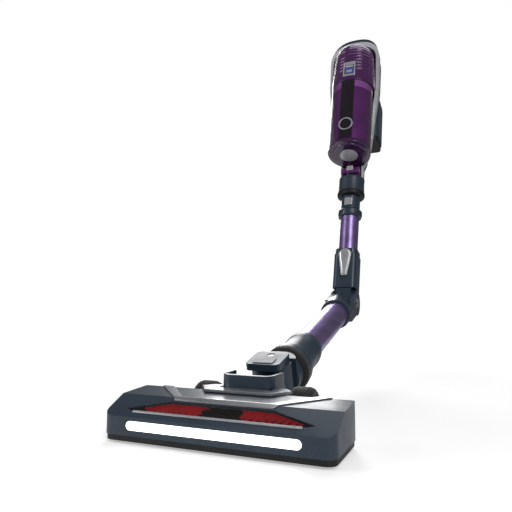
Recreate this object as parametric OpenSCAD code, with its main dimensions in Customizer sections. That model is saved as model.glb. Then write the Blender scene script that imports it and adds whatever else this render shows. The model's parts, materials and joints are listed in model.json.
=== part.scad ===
// Cordless stick vacuum: a powered floor head, a two-part wand that folds at a knee,
// and a hand unit with a dust bin, a motor under a dome, a handle loop and a battery.
// It stands as in use: the floor head flat, the lower wand low, the upper wand steep.
// +X is to the right, +Y runs from the head's front towards the user, +Z is up.
// The origin is on the floor, under the middle of the whole object.

/* [Posture] */
// Angle of the lower wand above the floor
lower_angle = 14.7; // [10:0.1:30]
// Angle of the upper wand above the floor
upper_angle = 73.5; // [50:0.1:85]

/* [Floor head] */
// Width of the floor head
head_w = 260; // [230:1:320]
// Depth of the floor head's casing
head_d = 90; // [88:1:96]
// Height of the flat top above the floor
head_h = 48.5; // [47.5:0.5:58]
// Height of the front face's upper edge
front_h = 28.8; // [27:0.1:33]
// Wall thickness of the head's casing
head_wall = 2.5; // [2:0.1:3.5]
// Height of the sole above the floor
sole_gap = 3; // [2:0.5:4]
// Thickness of the sole plate
sole_t = 6; // [4:0.5:7]
// Distance from each end of the head to the light bar
light_end = 32; // [22:1:70]
// Radius of the brush, over the bristles
brush_r = 18; // [14:0.5:18.5]
// Radius of the rear wheels
wheel_r = 26.5; // [22:0.5:28]
// Width of one rear wheel
wheel_w = 28; // [16:1:34]
// Radius of the small front wheels
caster_r = 7; // [5:0.5:8]

/* [Neck] */
// Half the width of the pitching barrel
barrel_hw = 29.5; // [26:0.5:34]
// Radius of the pitching barrel
barrel_r = 23.5; // [20:0.5:25]
// Distance from the pitch axis to the swing axis
swing_s = 66; // [64:1:80]
// Radius of the swing drum
drum_r = 27; // [24:0.5:29]

/* [Wand] */
// Outer radius of the lower wand's tube
lower_r = 23.5; // [21:0.25:24]
// Outer radius of the upper wand's tube
tube_r = 20; // [18:0.25:21]
// Wall thickness of the wand tubes
tube_wall = 1.2; // [0.8:0.1:2]
// Distance from the pitch axis to the knee axis
knee_s = 486; // [440:1:620]
// Distance from the knee axis to the hand unit
hand_s = 243; // [243:1:420]
// Radius of the knee's cheeks
knee_r = 26; // [25:0.5:29]
// Half the width of the knee
knee_hw = 25; // [24.5:0.5:30]

/* [Hand unit] */
// Outer radius of the dust bin
bin_r = 46.5; // [42:0.5:52]
// Wall thickness of the dust bin
bin_wall = 2.4; // [1.6:0.1:3.2]
// How far the bin's back stands behind the wand's axis
bin_back = 8.5; // [7:0.5:10]
// Tilt of the bin's bottom lid
lid_tilt = 8; // [0:0.5:12]
// Height of the bin above its lid
bin_len = 170; // [150:1:230]
// How far the silver frame stands out beside the bin
frame_side = 11.5; // [11:0.5:16]
// Height of the rounded arch over the motor
arch_h = 51; // [45:1:70]
// Depth of the battery, front to back
battery_d = 62; // [56:1:72]
// Half the width of the battery
battery_hw = 43; // [38:0.5:46]
// Height of the battery's case
battery_h = 103; // [90:1:130]
// Radius of the charging socket
socket_r = 2.8; // [2:0.1:3.5]
// Depth of the charging socket
socket_len = 10; // [8:0.5:11]

/* [Fits] */
// Radial clearance of a shaft that turns in a hole
run = 0.05; // [0.02:0.01:0.1]
// Gap between parts that move past each other
gap = 0.4; // [0.3:0.05:0.6]

/* [Hidden] */
$fn = 48;
eps = 0.01;
shell_fn = 32;

slate = "#46535f";
dark = "#1d1f23";
silver = "#c3c5c9";
violet = "#8a74b4";
plum = "#6c3a80";
steel = "#9a9ca0";

// Floor head
sole_top = sole_gap + sole_t;
ramp_y = 36;
ramp_z = head_h - 2.5;
corner_r = 12;
roller_y = 38;
roller_z = sole_gap + brush_r + 3;
core_r = 11;
roller_hw = head_w / 2 - 16;
mouth_hw = head_w / 2 - 20;
mouth_y0 = roller_y - 20;
mouth_y1 = roller_y + 20;
wall_y = roller_y + brush_r + 3;
shaft_r = 3;
pulley_r = 7;
belt_w = 4;
belt_x = -(roller_hw + 4);
motor_y = 74.8;
motor_z = 28;
motor_r = 12;
light_r = 4.8;
light_len = head_w - 2 * light_end;
light_z = sole_top + 11;
window_hw = head_w / 2 - 22;
window_y0 = 10.5;
window_y1 = 29;
window_in = 60;
trim_w = 8;
trim_t = 1.4;

// Neck
pitch_y = 118;
pitch_z = wheel_r;
pocket_r = 34.6;
shield_r = pocket_r - 0.6;
shield_wall = 3;
drum_top = 31;
drum_low = 20;
arm_hw = 21;
duct_r = 16;
pin_r = 5;
stub_r = 4;
ear_hw = 26;
ear_t = 9.5;
ear_low_t = 6;
bracket_hw = 44;
wheel_x = 48;
caster_x = head_w / 2 - 18;
caster_y = 13;
caster_pin_r = 1.5;
hump_hw = 33;
hump_y = 88;
hump_z = 66;
hump_corner = 16;
ring_s = swing_s + 42;
ring_w = 14;
ring_r = 34.5;
collar_s = ring_s + ring_w;
collar_len = 86;
collar_end = collar_s + collar_len;
socket_depth = 58;

// Knee
bore_r = tube_r - tube_wall;
lower_bore = lower_r - tube_wall;
tongue_hw = 15.2;
cheek_in = tongue_hw + 0.3;
knee_body_hw = knee_hw - 1;
knee_body_ht = knee_r - 1;
knee_top = 113;
knee_grip = 86;
lever_s = 99;
lever_r = 13;
lever_low = 52;
lever_hw = 6.5;
lever_t = 4;
lever_travel = 8;
bolt_x = 20.25;
bolt_r = 2;
groove_r = knee_r - 3.2;

// Wand collar and its release button
neck_r = 20.5;
spigot_r = 19.5;
collar_low = hand_s - 44;
neck_bore = 14.5;

// Hand unit, measured along the wand from the hand unit's lower face
sleeve_s = 11;
frame_s = 44;
lid_s = frame_s + 45;
bin_top = lid_s + bin_len - 2;
dome_s = bin_top + 5;
handle_s = dome_s + 20;
arch_s = dome_s + 88;
arch_power = 0.8;
frame_steps = [[33, 0], [32.5, 36], [26, 50], [20, 63], [14, 106], [10, 148], [3, 201], [0, 241]];
latch_s = frame_s + 18;
port_s = frame_s + 149;
frame_w = 7;
crown_w = 6;
frame_depth = 18;
frame_tilt = 6.3;
frame_t = 2.7;
cap_rise = 15;
back_t = -45;
bin_t = bin_r - bin_back;
frame_hw = bin_r + frame_side;
dome_t = bin_t - 8;
dome_r = bin_r + 4;
dome_wall = 2.5;
dome_flat = arch_s - 12;
dome_rise = arch_s + arch_h - frame_w - crown_w - 1 - dome_flat;
lid_lip = 0.6;
shroud_r = 29;
duct_t = -26;
heel_hw = 20;
dock_t = back_t - 16.5;
battery_top = dome_s + 42;
battery_s = battery_top - battery_h;
battery_t = dock_t - gap;
foot_h = 12;
bridge_h = 12;
grip_r = 16.5;
grip_t = -104;
grip_top = handle_s + 86;
grip_top_t = grip_t + 4;
case_wall = 2;
cell_r = 9.2;
fan_shaft_r = 3;

// The whole object's middle, front to back, is at the origin.
upper_y = pitch_y + knee_s * cos(lower_angle);
upper_z = pitch_z + knee_s * sin(lower_angle);
rear_y = upper_y + (hand_s + grip_top) * cos(upper_angle) - grip_top_t * sin(upper_angle) + grip_r;
shift_y = -rear_y / 2;

function arc(cx, cy, r, a0, a1, n = 6) =
    [for (i = [0:n]) [cx + r * cos(a0 + (a1 - a0) * i / n), cy + r * sin(a0 + (a1 - a0) * i / n)]];

function round_rect(hx, hy, r) = concat(
    arc(hx - r, hy - r, r, 0, 90),
    arc(-hx + r, hy - r, r, 90, 180),
    arc(-hx + r, -hy + r, r, 180, 270),
    arc(hx - r, -hy + r, r, 270, 360)
);

// Half of the hand unit's outline seen from the front, from the sleeve up to the arch's top.
// Each step is how far it is drawn in from the full width, and its height above the foot.
function arch_half(grow, rise) = concat(
    [for (p = frame_steps) [frame_hw - p[0] + grow * (1 - p[0] / 66), frame_s + p[1] - (p[1] == 0 ? grow / 2 : 0)]],
    [for (a = [0:6:84]) [
        (frame_hw + grow) * pow(cos(a), arch_power), arch_s + (arch_h + grow + rise) * pow(sin(a), arch_power)
    ]]
);
function arch_outline(grow, rise = 0) = concat(
    arch_half(grow, rise),
    [[0, arch_s + arch_h + grow + rise]],
    [for (i = [len(arch_half(grow, rise)) - 1:-1:0]) [-arch_half(grow, rise)[i][0], arch_half(grow, rise)[i][1]]]
);

// Places and frames. In the wand's frames Z runs along the tube and -Y is the front.
module on_floor() translate([0, shift_y, 0]) children();
module lower_frame() on_floor() translate([0, pitch_y, pitch_z]) rotate([lower_angle - 90, 0, 0]) children();
module upper_frame() on_floor() translate([0, upper_y, upper_z]) rotate([upper_angle - 90, 0, 0]) children();
module hand_frame() upper_frame() translate([0, 0, hand_s]) children();
module bin_frame() hand_frame() translate([0, -bin_t, 0]) children();
module lid_frame() bin_frame() translate([0, 0, lid_s]) rotate([-lid_tilt, 0, 0]) children();
module both_sides() {
    children();
    mirror([1, 0, 0]) children();
}

// A block from t0 to t1 in front of the wand's axis, x across, s along the wand.
module block(hw, s0, s1, t0, t1) translate([-hw, -t1, s0]) cube([2 * hw, t1 - t0, s1 - s0]);
module slab(t0, t1) translate([0, -t0, 0]) rotate([90, 0, 0]) linear_extrude(t1 - t0) children();
module x_bar(r, x0, x1) translate([x0, 0, 0]) rotate([0, 90, 0]) cylinder(r = r, h = x1 - x0);
module ring_tube(r_out, r_in, h) difference() {
    cylinder(r = r_out, h = h);
    translate([0, 0, -1]) cylinder(r = r_in, h = h + 2);
}

// ---- Floor head ----

// Side view of the head, drawn in from its outside by an even wall.
function head_profile(inset, base) = [
    [inset, base],
    [inset, front_h - inset * 0.7],
    [ramp_y + inset * 0.2, ramp_z - inset],
    [head_d - 8, head_h - inset],
    [head_d - inset, head_h - 7 - inset * 0.5],
    [head_d - inset, base]
];
module head_prism(inset, base, hw) translate([-hw, 0, 0]) rotate([90, 0, 90])
    linear_extrude(2 * hw) polygon(head_profile(inset, base));
module head_plan(hw, y0, y1, r) translate([0, (y0 + y1) / 2]) polygon(round_rect(hw, (y1 - y0) / 2, r));
module window_plan(grow) polygon([
    [-window_hw - grow, window_y0 + 3], [-window_hw + 8, window_y0 - grow],
    [window_hw - 8, window_y0 - grow], [window_hw + grow, window_y0 + 3],
    [window_in, window_y1 + grow], [-window_in, window_y1 + grow]
]);
module neck_pocket(r) translate([0, pitch_y, pitch_z]) x_bar(r, -barrel_hw - 1, barrel_hw + 1);
module at_roller() translate([0, roller_y, roller_z]) children();
module at_motor() translate([0, motor_y, motor_z]) children();

module head_shell() color(slate) on_floor() difference() {
    intersection() {
        head_prism(0, sole_top, head_w / 2);
        linear_extrude(head_h + 5) head_plan(head_w / 2, 0, head_d, corner_r);
    }
    difference() {
        intersection() {
            head_prism(head_wall, sole_top - 1, head_w / 2 - head_wall - 1);
            linear_extrude(head_h + 5) head_plan(head_w / 2 - head_wall, head_wall, head_d - head_wall, corner_r - 2);
        }
        translate([-head_w / 2, wall_y, 0]) cube([head_w, head_wall, head_h]);
    }
    translate([0, 0, sole_top + 4]) linear_extrude(head_h) window_plan(0);
    translate([0, 0, light_z]) rotate([90, 0, 0]) translate([0, 0, -head_wall - 1])
        linear_extrude(head_wall + 2) polygon(round_rect(light_len / 2, light_r, light_r - eps));
    translate([-duct_r, wall_y - 1, sole_top + 2]) cube([2 * duct_r, head_wall + 2, 22]);
    translate([belt_x - belt_w / 2 - gap, wall_y - 1, sole_top + 2])
        cube([belt_w + 2 * gap, head_wall + 2, head_h - sole_top - 8]);
    neck_pocket(pocket_r);
}

module mouth_plan() translate([-mouth_hw, mouth_y0]) square([2 * mouth_hw, mouth_y1 - mouth_y0]);
module at_screws() for (x = [-1, 1], y = [8, 66])
    translate([x * (head_w / 2 - 34 - y / 3), y, 0]) children();

module sole_plate() color(dark) on_floor() difference() {
    translate([0, 0, sole_gap]) linear_extrude(sole_t - eps) head_plan(head_w / 2 - 1, 1, head_d - 1, corner_r - 1);
    translate([0, 0, -1]) linear_extrude(20) mouth_plan();
    at_screws() translate([0, 0, sole_gap - 1]) cylinder(r = 3 + run, h = 4);
    both_sides() translate([caster_x - 5.5, caster_y - caster_r - 1.5, -1]) cube([11, 2 * caster_r + 3, 20]);
    neck_pocket(pocket_r);
}

module light_bar() color("white") on_floor() translate([0, 0, light_z]) rotate([90, 0, 0])
    translate([0, 0, -head_wall]) linear_extrude(head_wall + 0.6)
        polygon(round_rect(light_len / 2 - 0.2, light_r - 0.2, light_r - 0.3));

module light_board() color("#2c6b45") on_floor()
    translate([-light_len / 2, head_wall + 0.2, light_z - 4]) cube([light_len, 1.4, 8]);

module brush_window() color([0.12, 0.1, 0.14, 0.55]) on_floor() intersection() {
    difference() {
        head_prism(0.2, sole_top + 3, window_hw + 5);
        head_prism(head_wall, sole_top + 2, window_hw + 6);
    }
    translate([0, 0, sole_top + 4]) linear_extrude(head_h) window_plan(-0.2);
}

// A thin strip laid on the head's outside, cut to a plan outline.
module laid_strip(thick) intersection() {
    difference() {
        head_prism(-thick, sole_top, head_w / 2);
        head_prism(-eps, 0, head_w / 2 + 1);
    }
    translate([0, 0, sole_top + 10]) linear_extrude(head_h) children();
}
module window_trim() color(silver) on_floor() laid_strip(0.8)
    translate([-window_hw + 12, window_y0 - 3.2]) square([2 * (window_hw - 12), 2.6]);

elbow_x = 57;
trim_end_x = head_w / 2 - 24;
module trim_plan() polygon([
    [-elbow_x, window_y1 + 1.2], [elbow_x, window_y1 + 1.2],
    [trim_end_x, head_d - 8], [trim_end_x - 2 * trim_w, head_d - 8],
    [elbow_x - 5, window_y1 + trim_w + 1.2], [-elbow_x + 5, window_y1 + trim_w + 1.2],
    [-trim_end_x + 2 * trim_w, head_d - 8], [-trim_end_x, head_d - 8]
]);
module head_trim() color(silver) on_floor() laid_strip(trim_t) trim_plan();

module hump_cover() color(slate) on_floor() difference() {
    translate([0, 0, head_h + eps]) linear_extrude(hump_z - head_h) polygon(concat(
        arc(hump_hw - hump_corner, hump_y + hump_corner, hump_corner, -90, 0), [[hump_hw, pitch_y + 14], [-hump_hw, pitch_y + 14]],
        arc(-hump_hw + hump_corner, hump_y + hump_corner, hump_corner, 180, 270)
    ));
    neck_pocket(pocket_r);
    translate([-barrel_hw - 1, hump_y + 9, head_h - 5]) cube([2 * barrel_hw + 2, 60, 40]);
}

skirt_t = 3;
module hump_skirt() color(silver) on_floor() difference() {
    translate([0, 0, head_h + eps]) linear_extrude(skirt_t) polygon([
        [-hump_hw - 8, hump_y - 20], [hump_hw + 8, hump_y - 20], [hump_hw + 24, head_d + 2],
        [hump_hw + 13, head_d + 16], [-hump_hw - 13, head_d + 16], [-hump_hw - 24, head_d + 2]
    ]);
    translate([-hump_hw - 0.1, hump_y - 0.1, 0]) cube([2 * hump_hw + 0.2, 60, 80]);
    both_sides() translate([wheel_x - gap, pitch_y, pitch_z]) x_bar(wheel_r + 1.5, 0, 60);
    neck_pocket(pocket_r);
}

module pivot_bracket() color(slate) on_floor() both_sides() difference() {
    union() {
        translate([barrel_hw + gap, head_d + eps, sole_top])
            cube([bracket_hw - barrel_hw - gap, pitch_y - head_d, head_h - sole_top - 6]);
        translate([barrel_hw + gap, pitch_y, pitch_z]) x_bar(15, 0, bracket_hw - barrel_hw - gap);
    }
    translate([0, pitch_y, pitch_z]) x_bar(stub_r, 0, 60);
}

module wheel_axles() color(steel) on_floor() both_sides() {
    translate([0, pitch_y, pitch_z]) union() {
        x_bar(stub_r, barrel_hw - 7, wheel_x + wheel_w + 2);
        x_bar(stub_r + 4, wheel_x + wheel_w + gap, wheel_x + wheel_w + 2.4);
    }
    translate([0, caster_y, caster_r]) x_bar(caster_pin_r, caster_x - 5.5, caster_x + 5.5);
}

module rear_wheel() color(dark) translate([0, pitch_y, pitch_z]) difference() {
    translate([wheel_x, 0, 0]) rotate([0, 90, 0]) rotate_extrude() polygon([
        [stub_r + run, 0], [wheel_r - 5, 0], [wheel_r - 1.5, 2.5], [wheel_r, 6], [wheel_r, wheel_w - 6],
        [wheel_r - 1.5, wheel_w - 2.5], [wheel_r - 5, wheel_w], [wheel_r - 8, wheel_w],
        [wheel_r - 9, wheel_w - 3], [stub_r + 5, wheel_w - 3], [stub_r + 5, wheel_w], [stub_r + run, wheel_w]
    ]);
}
module wheel_right() on_floor() rear_wheel();
module wheel_left() on_floor() mirror([1, 0, 0]) rear_wheel();

module caster() color(dark) translate([caster_x - 4, caster_y, caster_r]) difference() {
    x_bar(caster_r, 0, 8);
    x_bar(caster_pin_r + run, -1, 9);
}
module caster_right() on_floor() caster();
module caster_left() on_floor() mirror([1, 0, 0]) caster();

module roller_bearings() color(steel) on_floor() both_sides() at_roller()
    translate([head_w / 2 - head_wall - 1.4 - 5, 0, 0]) difference() {
        x_bar(8, 0, 5);
        x_bar(shaft_r + run, -1, 6);
    }

module brush_roller() color(dark) on_floor() at_roller() union() {
    x_bar(core_r, -roller_hw + 2, roller_hw);
    x_bar(shaft_r, -head_w / 2 + head_wall + 2, head_w / 2 - head_wall - 2);
    translate([belt_x, 0, 0]) x_bar(pulley_r, -2.5, 2.5);
}

tuft_rows = 5;
module tuft_set(x0, x1) for (i = [0:tuft_rows - 1]) rotate([360 * i / tuft_rows, 0, 0])
    translate([x0, -2.5, core_r]) cube([x1 - x0, 5, brush_r - core_r - 0.3]);
module roller_bristles() color("#b3202a") on_floor() at_roller() difference() {
    union() {
        tuft_set(-roller_hw + 8, -8);
        tuft_set(8, roller_hw - 8);
    }
    x_bar(core_r, -roller_hw, roller_hw);
}

module motor_pulley() color("#dcdcd6") on_floor() at_motor() translate([belt_x, 0, 0]) union() {
    x_bar(pulley_r, -2.5, 2.5);
    x_bar(2, 2, 16);
}
belt_dy = motor_y - roller_y;
belt_dz = motor_z - roller_z;
module belt_loop(r, w) for (i = [0:1]) translate([belt_x, roller_y, roller_z])
    rotate([atan2(belt_dz, belt_dy), 0, 0]) {
        translate([0, i * norm([belt_dy, belt_dz]), 0]) x_bar(r, -w / 2, w / 2);
        if (i == 0) translate([-w / 2, 0, -r]) cube([w, norm([belt_dy, belt_dz]), 2 * r]);
    }
module drive_belt() color(dark) on_floor() difference() {
    belt_loop(pulley_r + 1.6, belt_w);
    belt_loop(pulley_r + 0.1, belt_w + 2);
}
module brush_motor() color("#8b8d91") on_floor() at_motor() translate([belt_x + 7, 0, 0]) difference() {
    x_bar(motor_r, 0, 52);
    x_bar(2 + run, -1, 12);
}

module rear_lip() color(dark) on_floor()
    translate([-mouth_hw + 4, mouth_y1 + 3, 1]) cube([2 * mouth_hw - 8, 3, sole_gap - 1 - eps]);
module sole_screws() color(steel) on_floor() at_screws() translate([0, 0, sole_gap + 0.4]) difference() {
    cylinder(r = 3, h = 2.6 - 0.05);
    translate([0, 0, -1]) cylinder(r = 1.4, h = 2.4, $fn = 6);
}

// ---- Neck ----

module neck_body() color(slate) lower_frame() difference() {
    union() {
        x_bar(barrel_r, -barrel_hw, barrel_hw);
        block(arm_hw, 0, swing_s, -drum_low + 1, drum_low - 1);
        translate([0, drum_low, swing_s]) rotate([90, 0, 0]) cylinder(r = drum_r, h = drum_low + drum_top);
        difference() {
            x_bar(shield_r, -barrel_hw, barrel_hw);
            x_bar(shield_r - shield_wall, -barrel_hw + 3, barrel_hw - 3);
            translate([-50, -2, -50]) cube([100, 60, 100]);
            rotate([20, 0, 0]) translate([-50, -60, -60]) cube([100, 100, 60]);
            rotate([-18, 0, 0]) translate([-50, 0, -60]) cube([100, 60, 120]);
        }
    }
    cylinder(r = duct_r, h = swing_s + drum_r + 2);
    x_bar(duct_r, -barrel_hw + 8, barrel_hw - 8);
    x_bar(stub_r + run, -60, 60);
    translate([0, 60, swing_s]) rotate([90, 0, 0]) cylinder(r = pin_r + run, h = 120);
}

module swing_pins() color(steel) lower_frame() translate([0, 0, swing_s]) {
    translate([0, -drum_top + 8, 0]) rotate([90, 0, 0]) cylinder(r = pin_r, h = 8 + ear_t - 1);
    translate([0, drum_low + ear_low_t - 1, 0]) rotate([90, 0, 0]) cylinder(r = pin_r, h = ear_low_t + 2);
}

button_s = ring_s - 6.5;
button_hl = 4.6;
module ear_plan() translate([0, swing_s - 11.5]) polygon(round_rect(ear_hw - 3, 23.5, 7));
module low_ear_plan() translate([0, swing_s - 2]) polygon(round_rect(ear_hw, 24, 12));
module elbow_yoke() color(slate) lower_frame() difference() {
    union() {
        slab(drum_top + gap, drum_top + ear_t) ear_plan();
        slab(-drum_low - ear_low_t, -drum_low - gap) low_ear_plan();
        translate([0, drum_low + ear_low_t, swing_s]) rotate([90, 0, 0])
            cylinder(r = drum_r + 5, h = drum_low + drum_top + ear_low_t + 3);
        translate([0, 0, swing_s + drum_r - 6]) cylinder(r = 28, h = 21);
    }
    translate([0, drum_low + gap, swing_s]) rotate([90, 0, 0])
        cylinder(r = drum_r + gap, h = drum_low + drum_top + 2 * gap);
    difference() {
        block(60, swing_s - 60, swing_s + 7, -60, 60);
        slab(drum_top + gap, 80) ear_plan();
        slab(-80, -drum_low - gap) low_ear_plan();
    }
    translate([0, 0, swing_s]) cylinder(r = duct_r, h = 80);
    translate([0, 60, swing_s]) rotate([90, 0, 0]) cylinder(r = pin_r, h = 120);
    block(8.4, button_s - button_hl - gap, button_s + button_hl + gap, 23.6, 60);
}

module elbow_plate() color(silver) lower_frame()
    slab(drum_top + ear_t + eps, drum_top + ear_t + 1.2) translate([0, swing_s - 22]) polygon(round_rect(13.5, 9, 2));

module dotted_ring() color(dark) lower_frame() translate([0, 0, ring_s]) difference() {
    cylinder(r = ring_r, h = ring_w);
    translate([0, 0, -1]) cylinder(r = duct_r, h = ring_w + 2);
}

module collar_button() color(silver) lower_frame()
    slab(26, 30.5) translate([0, button_s]) polygon(round_rect(8, button_hl, 1.5));

module lower_collar() color(slate) lower_frame() translate([0, 0, collar_s + eps]) rotate_extrude() polygon([
    [lower_bore, 0], [ring_r - 1, 0], [ring_r - 1.5, 13], [lower_r + 6, 23], [lower_r + 5, collar_len - 14],
    [lower_r + 4.5, collar_len - 5], [lower_r + 2.5, collar_len], [lower_r, collar_len],
    [lower_r, collar_len - socket_depth], [lower_bore, collar_len - socket_depth]
]);

module lower_tube() color(violet) lower_frame() translate([0, 0, collar_end - socket_depth + eps])
    ring_tube(lower_r - eps, lower_bore, knee_s - 52 - collar_end + socket_depth);

// ---- Knee ----

module knee_lower() color(slate) lower_frame() translate([0, 0, knee_s]) difference() {
    union() {
        translate([0, 0, -knee_grip]) cylinder(r = lower_r + 3.5, h = knee_grip - 28);
        translate([0, 0, -knee_grip]) cylinder(r = lower_r + 5, h = 9);
        both_sides() x_bar(knee_r, cheek_in, knee_hw);
        both_sides() translate([cheek_in, -22, -60]) cube([knee_hw - cheek_in, 44, 60]);
    }
    x_bar(knee_r + gap, -cheek_in, cheek_in);
    translate([0, 0, -knee_grip - 1]) cylinder(r = lower_r, h = knee_grip - 50);
    translate([0, 0, -60]) cylinder(r = bore_r, h = 60);
    both_sides() difference() {
        x_bar(knee_r + 1, bolt_x - 2.4, bolt_x + 2.4);
        x_bar(groove_r, 0, 60);
        translate([0, -60, -100]) cube([60, 120, 88]);
    }
    x_bar(pin_r, -60, 60);
}

module knee_pin() color(steel) lower_frame() translate([0, 0, knee_s]) union() {
    x_bar(pin_r, -knee_hw, knee_hw);
    both_sides() x_bar(pin_r + 4, knee_hw + eps, knee_hw + 1.6);
}

// The lever is a tapered tongue with a round top; the slot under it is longer by the lever's travel.
module lever_plan(grow, drop) polygon(concat(
    arc(0, lever_s, lever_r + grow, 0, 180, 16),
    [
        [-lever_r - grow, lever_s - drop], [-lever_hw - grow, lever_low - grow - drop],
        [lever_hw + grow, lever_low - grow - drop], [lever_r + grow, lever_s - drop]
    ]
));

module knee_upper() color(slate) upper_frame() difference() {
    union() {
        x_bar(knee_r - 0.3, -tongue_hw, tongue_hw);
        block(tongue_hw, 0, knee_r + 4, -knee_r + 4, knee_r - 4);
        translate([0, 0, knee_r + 0.8]) linear_extrude(knee_top - knee_r - 12)
            polygon(round_rect(knee_body_hw, knee_body_ht, 9));
        translate([0, 0, knee_top - 12]) linear_extrude(12) polygon(round_rect(knee_body_hw - 1, knee_body_ht - 1, 12));
    }
    translate([0, 0, 56]) cylinder(r = tube_r, h = 90);
    cylinder(r = bore_r - 4, h = 60);
    x_bar(pin_r + run, -60, 60);
    slab(knee_body_ht - 3, 60) lever_plan(0.4, lever_travel);
    both_sides() translate([bolt_x, 0, 0]) cylinder(r = bolt_r + run, h = 55);
}

module knee_lever() color(silver) upper_frame()
    slab(knee_body_ht - 2.6, knee_body_ht - 2.6 + lever_t) lever_plan(0, 0);

module lock_bolts() color(steel) upper_frame() both_sides()
    translate([bolt_x, 0, groove_r + 0.5]) cylinder(r = bolt_r, h = 20);

module upper_tube() color(violet) upper_frame() translate([0, 0, 56 + eps])
    ring_tube(tube_r - eps, bore_r, collar_low + 7 - 56);

// ---- Upper end of the wand ----

module wand_collar() color(slate) upper_frame() difference() {
    rotate_extrude() polygon([
        [tube_r, collar_low - 6], [24.5, collar_low - 6], [26, collar_low - 1], [26, collar_low + 7],
        [neck_r, collar_low + 12], [neck_r, hand_s - 1], [spigot_r, hand_s], [spigot_r, hand_s + frame_s - 2],
        [neck_bore, hand_s + frame_s - 2], [neck_bore, collar_low + 8], [tube_r, collar_low + 8]
    ]);
    block(9, hand_s - 27.4, hand_s - 8.6, 16.2, 60);
}
module wand_button() color(silver) upper_frame()
    slab(18.4, 22.2) translate([0, hand_s - 18]) polygon(round_rect(8.6, 9, 2.5));

// ---- Hand unit ----

module inlet_sleeve() color(slate) hand_frame() difference() {
    union() {
        cylinder(r = 30, h = sleeve_s - 1);
        translate([0, 0, sleeve_s - 1]) cylinder(r = 28.6, h = frame_s - sleeve_s + 1 - eps);
    }
    translate([0, 0, -1]) cylinder(r = spigot_r + run, h = frame_s + 2);
}

// The frame leans forward at the top; this keeps what lies behind one of its faces.
module behind_frame(back) translate([0, -frame_t + back, frame_s]) rotate([frame_tilt, 0, 0])
    translate([-100, 0, -60]) cube([200, 200, 500]);
module silver_frame() color(silver) hand_frame() difference() {
    slab(-20, 60) difference() {
        polygon(arch_outline(0));
        polygon(arch_outline(-frame_w, -crown_w));
    }
    behind_frame(frame_depth);
    difference() {
        translate([-100, -100, 0]) cube([200, 200, 500]);
        behind_frame(0);
    }
    bin_space();
    dome_half(dome_r + gap);
}

module bin_space() translate([0, -bin_t, lid_s - 13])
    cylinder(r = bin_r + lid_lip + 2.5 * gap, h = dome_s - 4 - lid_s + 13);
module main_housing() color(slate) hand_frame() difference() {
    union() {
        intersection() {
            union() {
                slab(-16, 60) polygon(arch_outline(-4, cap_rise + 2.5));
                slab(back_t, -16 + eps) polygon(arch_outline(-20, cap_rise));
            }
            behind_frame(frame_depth + eps);
        }
        slab(0, frame_t + 34) intersection() {
            difference() {
                polygon(arch_outline(-1.5, cap_rise));
                polygon(arch_outline(0.02));
            }
            translate([-60, arch_s + arch_h * 0.3]) square([120, 200]);
        }
        block(30, battery_s, battery_top + bridge_h, dock_t, back_t + 2);
        block(battery_hw - 2, battery_top + 0.3, battery_top + bridge_h, battery_t - battery_d + 4, dock_t + 1);
    }
    bin_space();
    block(heel_hw + gap, frame_s + 6, lid_s + 11, -10, 60);
    dome_half(dome_r - dome_wall - 0.5);
    block(16, frame_s + 6, dome_s - 8, back_t + 3, -11.5);
    translate([0, -duct_t, 0]) cylinder(r = 12, h = frame_s + 10);
    translate([0, 0, handle_s + 30]) slab(back_t - 5, back_t + 5) circle(r = 8 + 0.3);
}

module inlet_duct() color(dark) hand_frame() difference() {
    union() {
        translate([0, -duct_t, frame_s + 7]) cylinder(r = 14, h = port_s + 7 - frame_s);
        translate([0, 1 - duct_t, port_s]) rotate([90, 0, 0]) cylinder(r = 11, h = 15);
    }
    translate([0, -duct_t, frame_s + 6]) cylinder(r = 12, h = port_s + 5 - frame_s);
    translate([0, -duct_t, port_s]) rotate([90, 0, 0]) cylinder(r = 9, h = 20);
}

module dust_bin() color([0.42, 0.2, 0.5, 0.5]) difference() {
    union() {
        bin_frame() translate([0, 0, lid_s - 12]) cylinder(r = bin_r, h = bin_top - lid_s + 12);
        hand_frame() block(heel_hw, frame_s + 7, lid_s + 1, -8, 24);
    }
    bin_frame() translate([0, 0, frame_s + 20]) cylinder(r = bin_r - bin_wall, h = 400);
    difference() {
        lid_frame() translate([0, 0, -92]) cylinder(r = bin_r + 30, h = 100 + 0.2);
        hand_frame() block(heel_hw + 1, frame_s, lid_s - 13, -9, 25);
    }
    hand_frame() slab(14.5, 40) translate([0, latch_s]) polygon(round_rect(7.4, 5.9, 1.5));
    hand_frame() translate([0, 20, port_s]) rotate([90, 0, 0]) cylinder(r = 9, h = 20);
}

module bin_inner() color(dark) bin_frame() rotate_extrude() polygon([
    [12, lid_s + 22], [14, lid_s + 22], [24, lid_s + 70], [shroud_r, lid_s + 74], [shroud_r, bin_top - 8],
    [bin_r - bin_wall - 0.2, bin_top - 6], [bin_r - bin_wall - 0.2, bin_top], [bin_r - 12, bin_top],
    [shroud_r - 2, bin_top - 6], [shroud_r - 2, lid_s + 76], [22, lid_s + 71]
]);

module bin_lid() color([0.36, 0.2, 0.42, 0.7]) lid_frame() union() {
    cylinder(r = bin_r + lid_lip, h = 8);
    translate([0, 0, -2]) cylinder(r = bin_r - 9, h = 2 + eps);
}

module bin_trim() color(silver) {
    lid_frame() translate([0, 0, -3.4]) cylinder(r = 19.5, h = 1.4 - eps);
    bin_frame() difference() {
        translate([0, -bin_r - 0.8, lid_s + 50]) rotate([-90, 0, 0]) ring_tube(15.5, 13, 8);
        cylinder(r = bin_r + eps, h = 600);
    }
}

module bin_latch() color(silver) hand_frame()
    slab(18, 26.5) translate([0, latch_s]) polygon(round_rect(7, 5.5, 1.2));

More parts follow.
